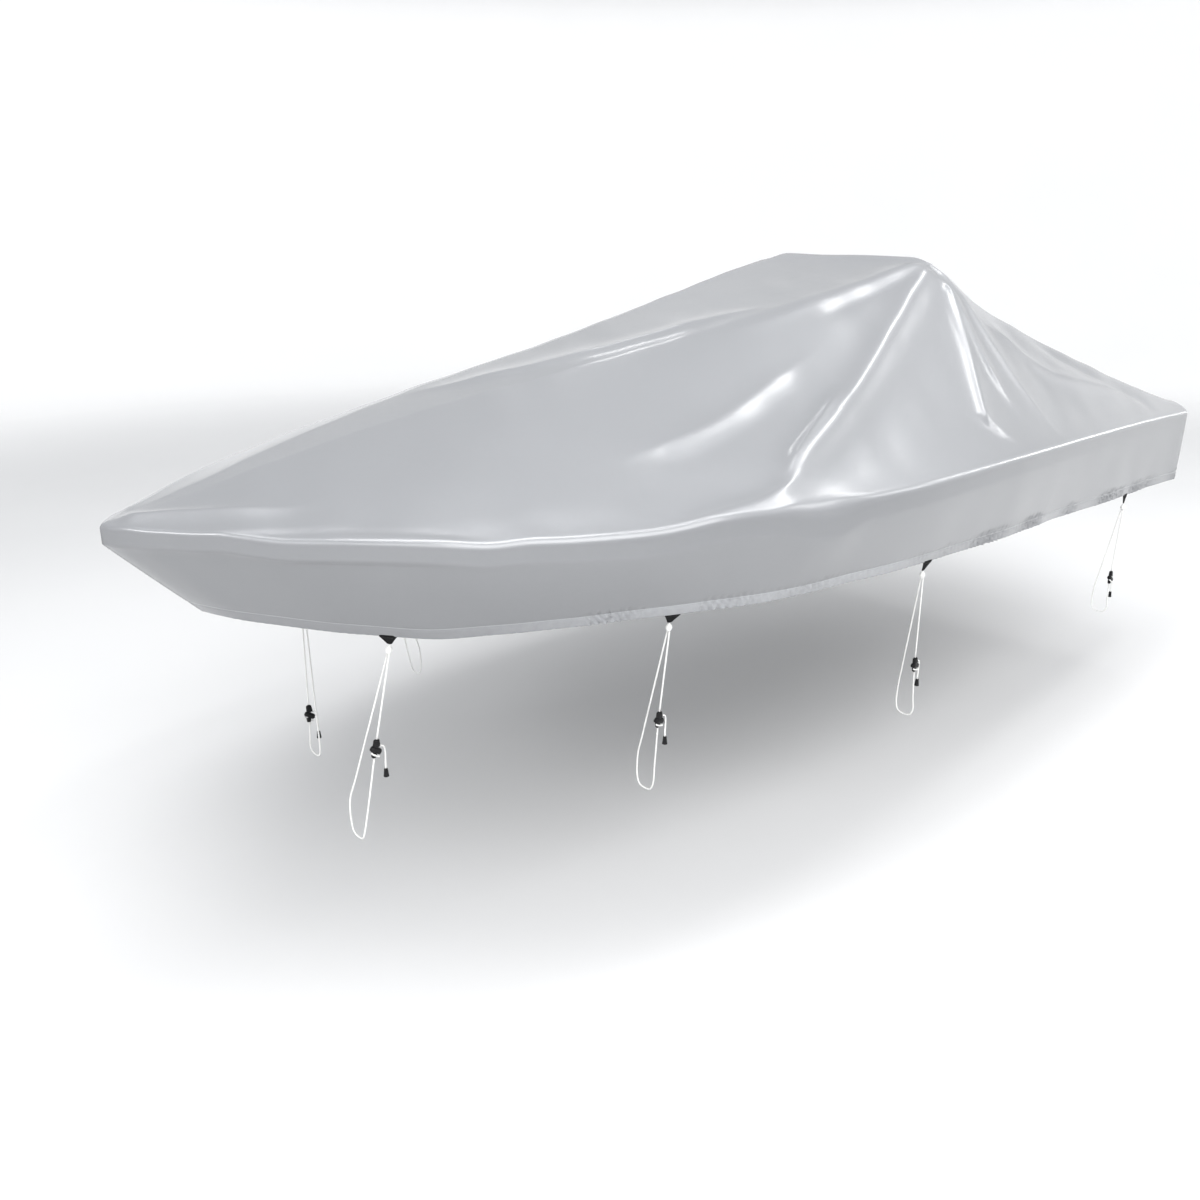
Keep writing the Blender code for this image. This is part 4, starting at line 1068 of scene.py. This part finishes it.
for tie in ties:
    name = tie.name + "_knot"
    knot_map = [KNOT_LENGTH * n / KNOT_RINGS for n in range(KNOT_RINGS + 1)]
    knot = fix_on(name, loft(name, knot_rings(tie), knot_map), cord_finish, "tie_" + name)
    name = tie.name + "_wrap"
    wrap = fix_on(name, cord_tube(name, through(wrap_route(tie), 4))[0], cord_finish)
    tie_cord(tie, "line", line_route(tie), 5)
    tie_cord(tie, "fall", fall_route(tie), 6)

# ------------------------------------------------------------- locks and toggles
# A moulded black lock grips both runs of each cord: a ribbed upper body, a
# slanted bar below it that the cord passes under, and a small nub. A tapered
# black toggle ends the free tail.

# The lock's three lobes: place aft and up, length, width, height, tilt in degrees,
# breadth of the top for one of the foot, and how far the edges are rounded.
LOBES = (
    (0.001, 0.0155, 0.0215, 0.0155, 0.0240, -8.0, 0.80, 0.0062),
    (0.002, -0.0050, 0.0355, 0.0175, 0.0170, 24.0, 0.92, 0.0064),
    (-0.002, -0.0200, 0.0110, 0.0095, 0.0150, 0.0, 1.25, 0.0028),
)
RIBS = (0.0075, 0.0115, 0.0155, 0.0195)   # heights of the grip ribs on the upper body
RIB_DEPTH = 0.0007
RIB_REACH = 0.0009
LONG_EDGE = 0.008         # edges longer than this are cut up to take the ribs
TOGGLE_LENGTH = 0.024
# The toggle's radius at places down from its top, which end inside its open foot.
TOGGLE = ((0.0, 0.0026), (0.0002, 0.0040), (0.0008, 0.0049), (0.0020, 0.0053), (0.0060, 0.0057),
          (0.0120, 0.0064), (0.0180, 0.0070), (0.0205, 0.0073), (0.0210, 0.0077),
          (0.0226, 0.0078), (0.0235, 0.0074), (TOGGLE_LENGTH, 0.0064), (0.0236, 0.0048),
          (0.0225, 0.0040), (0.0225, 0.0008))
TOGGLE_SIDES = 28


def ribbed(block, up):
    """Sink the upper lobe's grip ribs into its sides."""
    upright = [e for e in block.edges if abs(e.verts[0].co.z - e.verts[1].co.z) > LONG_EDGE]
    bmesh.ops.subdivide_edges(block, edges=upright, cuts=24, use_grid_fill=True)
    for vert in block.verts:
        rib = sum(math.exp(-((vert.co.z + up - place) / RIB_REACH) ** 2) for place in RIBS)
        vert.co.x -= math.copysign(RIB_DEPTH * rib, vert.co.x)
        vert.co.y -= math.copysign(RIB_DEPTH * rib, vert.co.y)


def lock_mesh(name, at):
    """The lock's lobes as rounded blocks, with ribs on the upper one."""
    shape = bmesh.new()
    turn = Matrix((at.aft, at.face, -at.pull)).transposed().to_4x4()
    for aft, up, length, width, height, tilt, top, bevel in LOBES:
        block = bmesh.new()
        for vert in bmesh.ops.create_cube(block, size=1.0)["verts"]:
            if vert.co.z > 0:
                vert.co.xy *= top
        bmesh.ops.transform(block, matrix=Matrix.Diagonal((length, width, height, 1.0)),
                            verts=block.verts[:])
        bmesh.ops.bevel(block, geom=block.edges[:], offset=bevel, segments=5, profile=0.5,
                        affect="EDGES", clamp_overlap=True)
        if up > 0:
            ribbed(block, up)
        set_at = (Matrix.Translation((aft, 0.0, up))
                  @ Matrix.Rotation(math.radians(tilt), 4, "Y"))
        bmesh.ops.transform(block, matrix=set_at, verts=block.verts[:])
        lobe = bpy.data.meshes.new("lobe")
        block.to_mesh(lobe)
        block.free()
        shape.from_mesh(lobe)
        bpy.data.meshes.remove(lobe)
    bmesh.ops.transform(shape, matrix=Matrix.Translation(at.lock) @ turn, verts=shape.verts[:])
    bmesh.ops.recalc_face_normals(shape, faces=shape.faces[:])
    return smooth_mesh(name, shape)


def toggle_rings(at):
    end = tail_route(at)[-1] - Vector((0.0, 0.0, GAP))
    turns = [math.tau * i / TOGGLE_SIDES for i in range(TOGGLE_SIDES)]
    return [[end + Vector((radius * math.cos(t), radius * math.sin(t), -drop)) for t in turns]
            for drop, radius in TOGGLE]


plastic_finish = Finish("black moulded plastic", "black_plastic", Roughness=0.36,
                        Specular_IOR_Level=0.22)
grain = plastic_finish.noise(900.0, 2.0)
worn = plastic_finish.noise(60.0, 3.0)
plastic_finish.tint(worn, (0.004, 0.004, 0.0045), (0.010, 0.010, 0.011))
plastic_finish.feed("Roughness", 0.28 + 0.16 * worn)
plastic_finish.bump(grain, 0.00025, 0.5)

for tie in ties:
    name = tie.name + "_lock"
    lock = fix_on(name, lock_mesh(name, tie), plastic_finish, "tie_" + name)
    name = tie.name + "_toggle"
    toggle_data = loft(name, toggle_rings(tie), [drop for drop, _ in TOGGLE])
    toggle_data.set_sharp_from_angle(angle=math.radians(50))
    toggle = fix_on(name, toggle_data, plastic_finish, "tie_" + name)
    tie_cord(tie, "tail", tail_route(tie), 4)
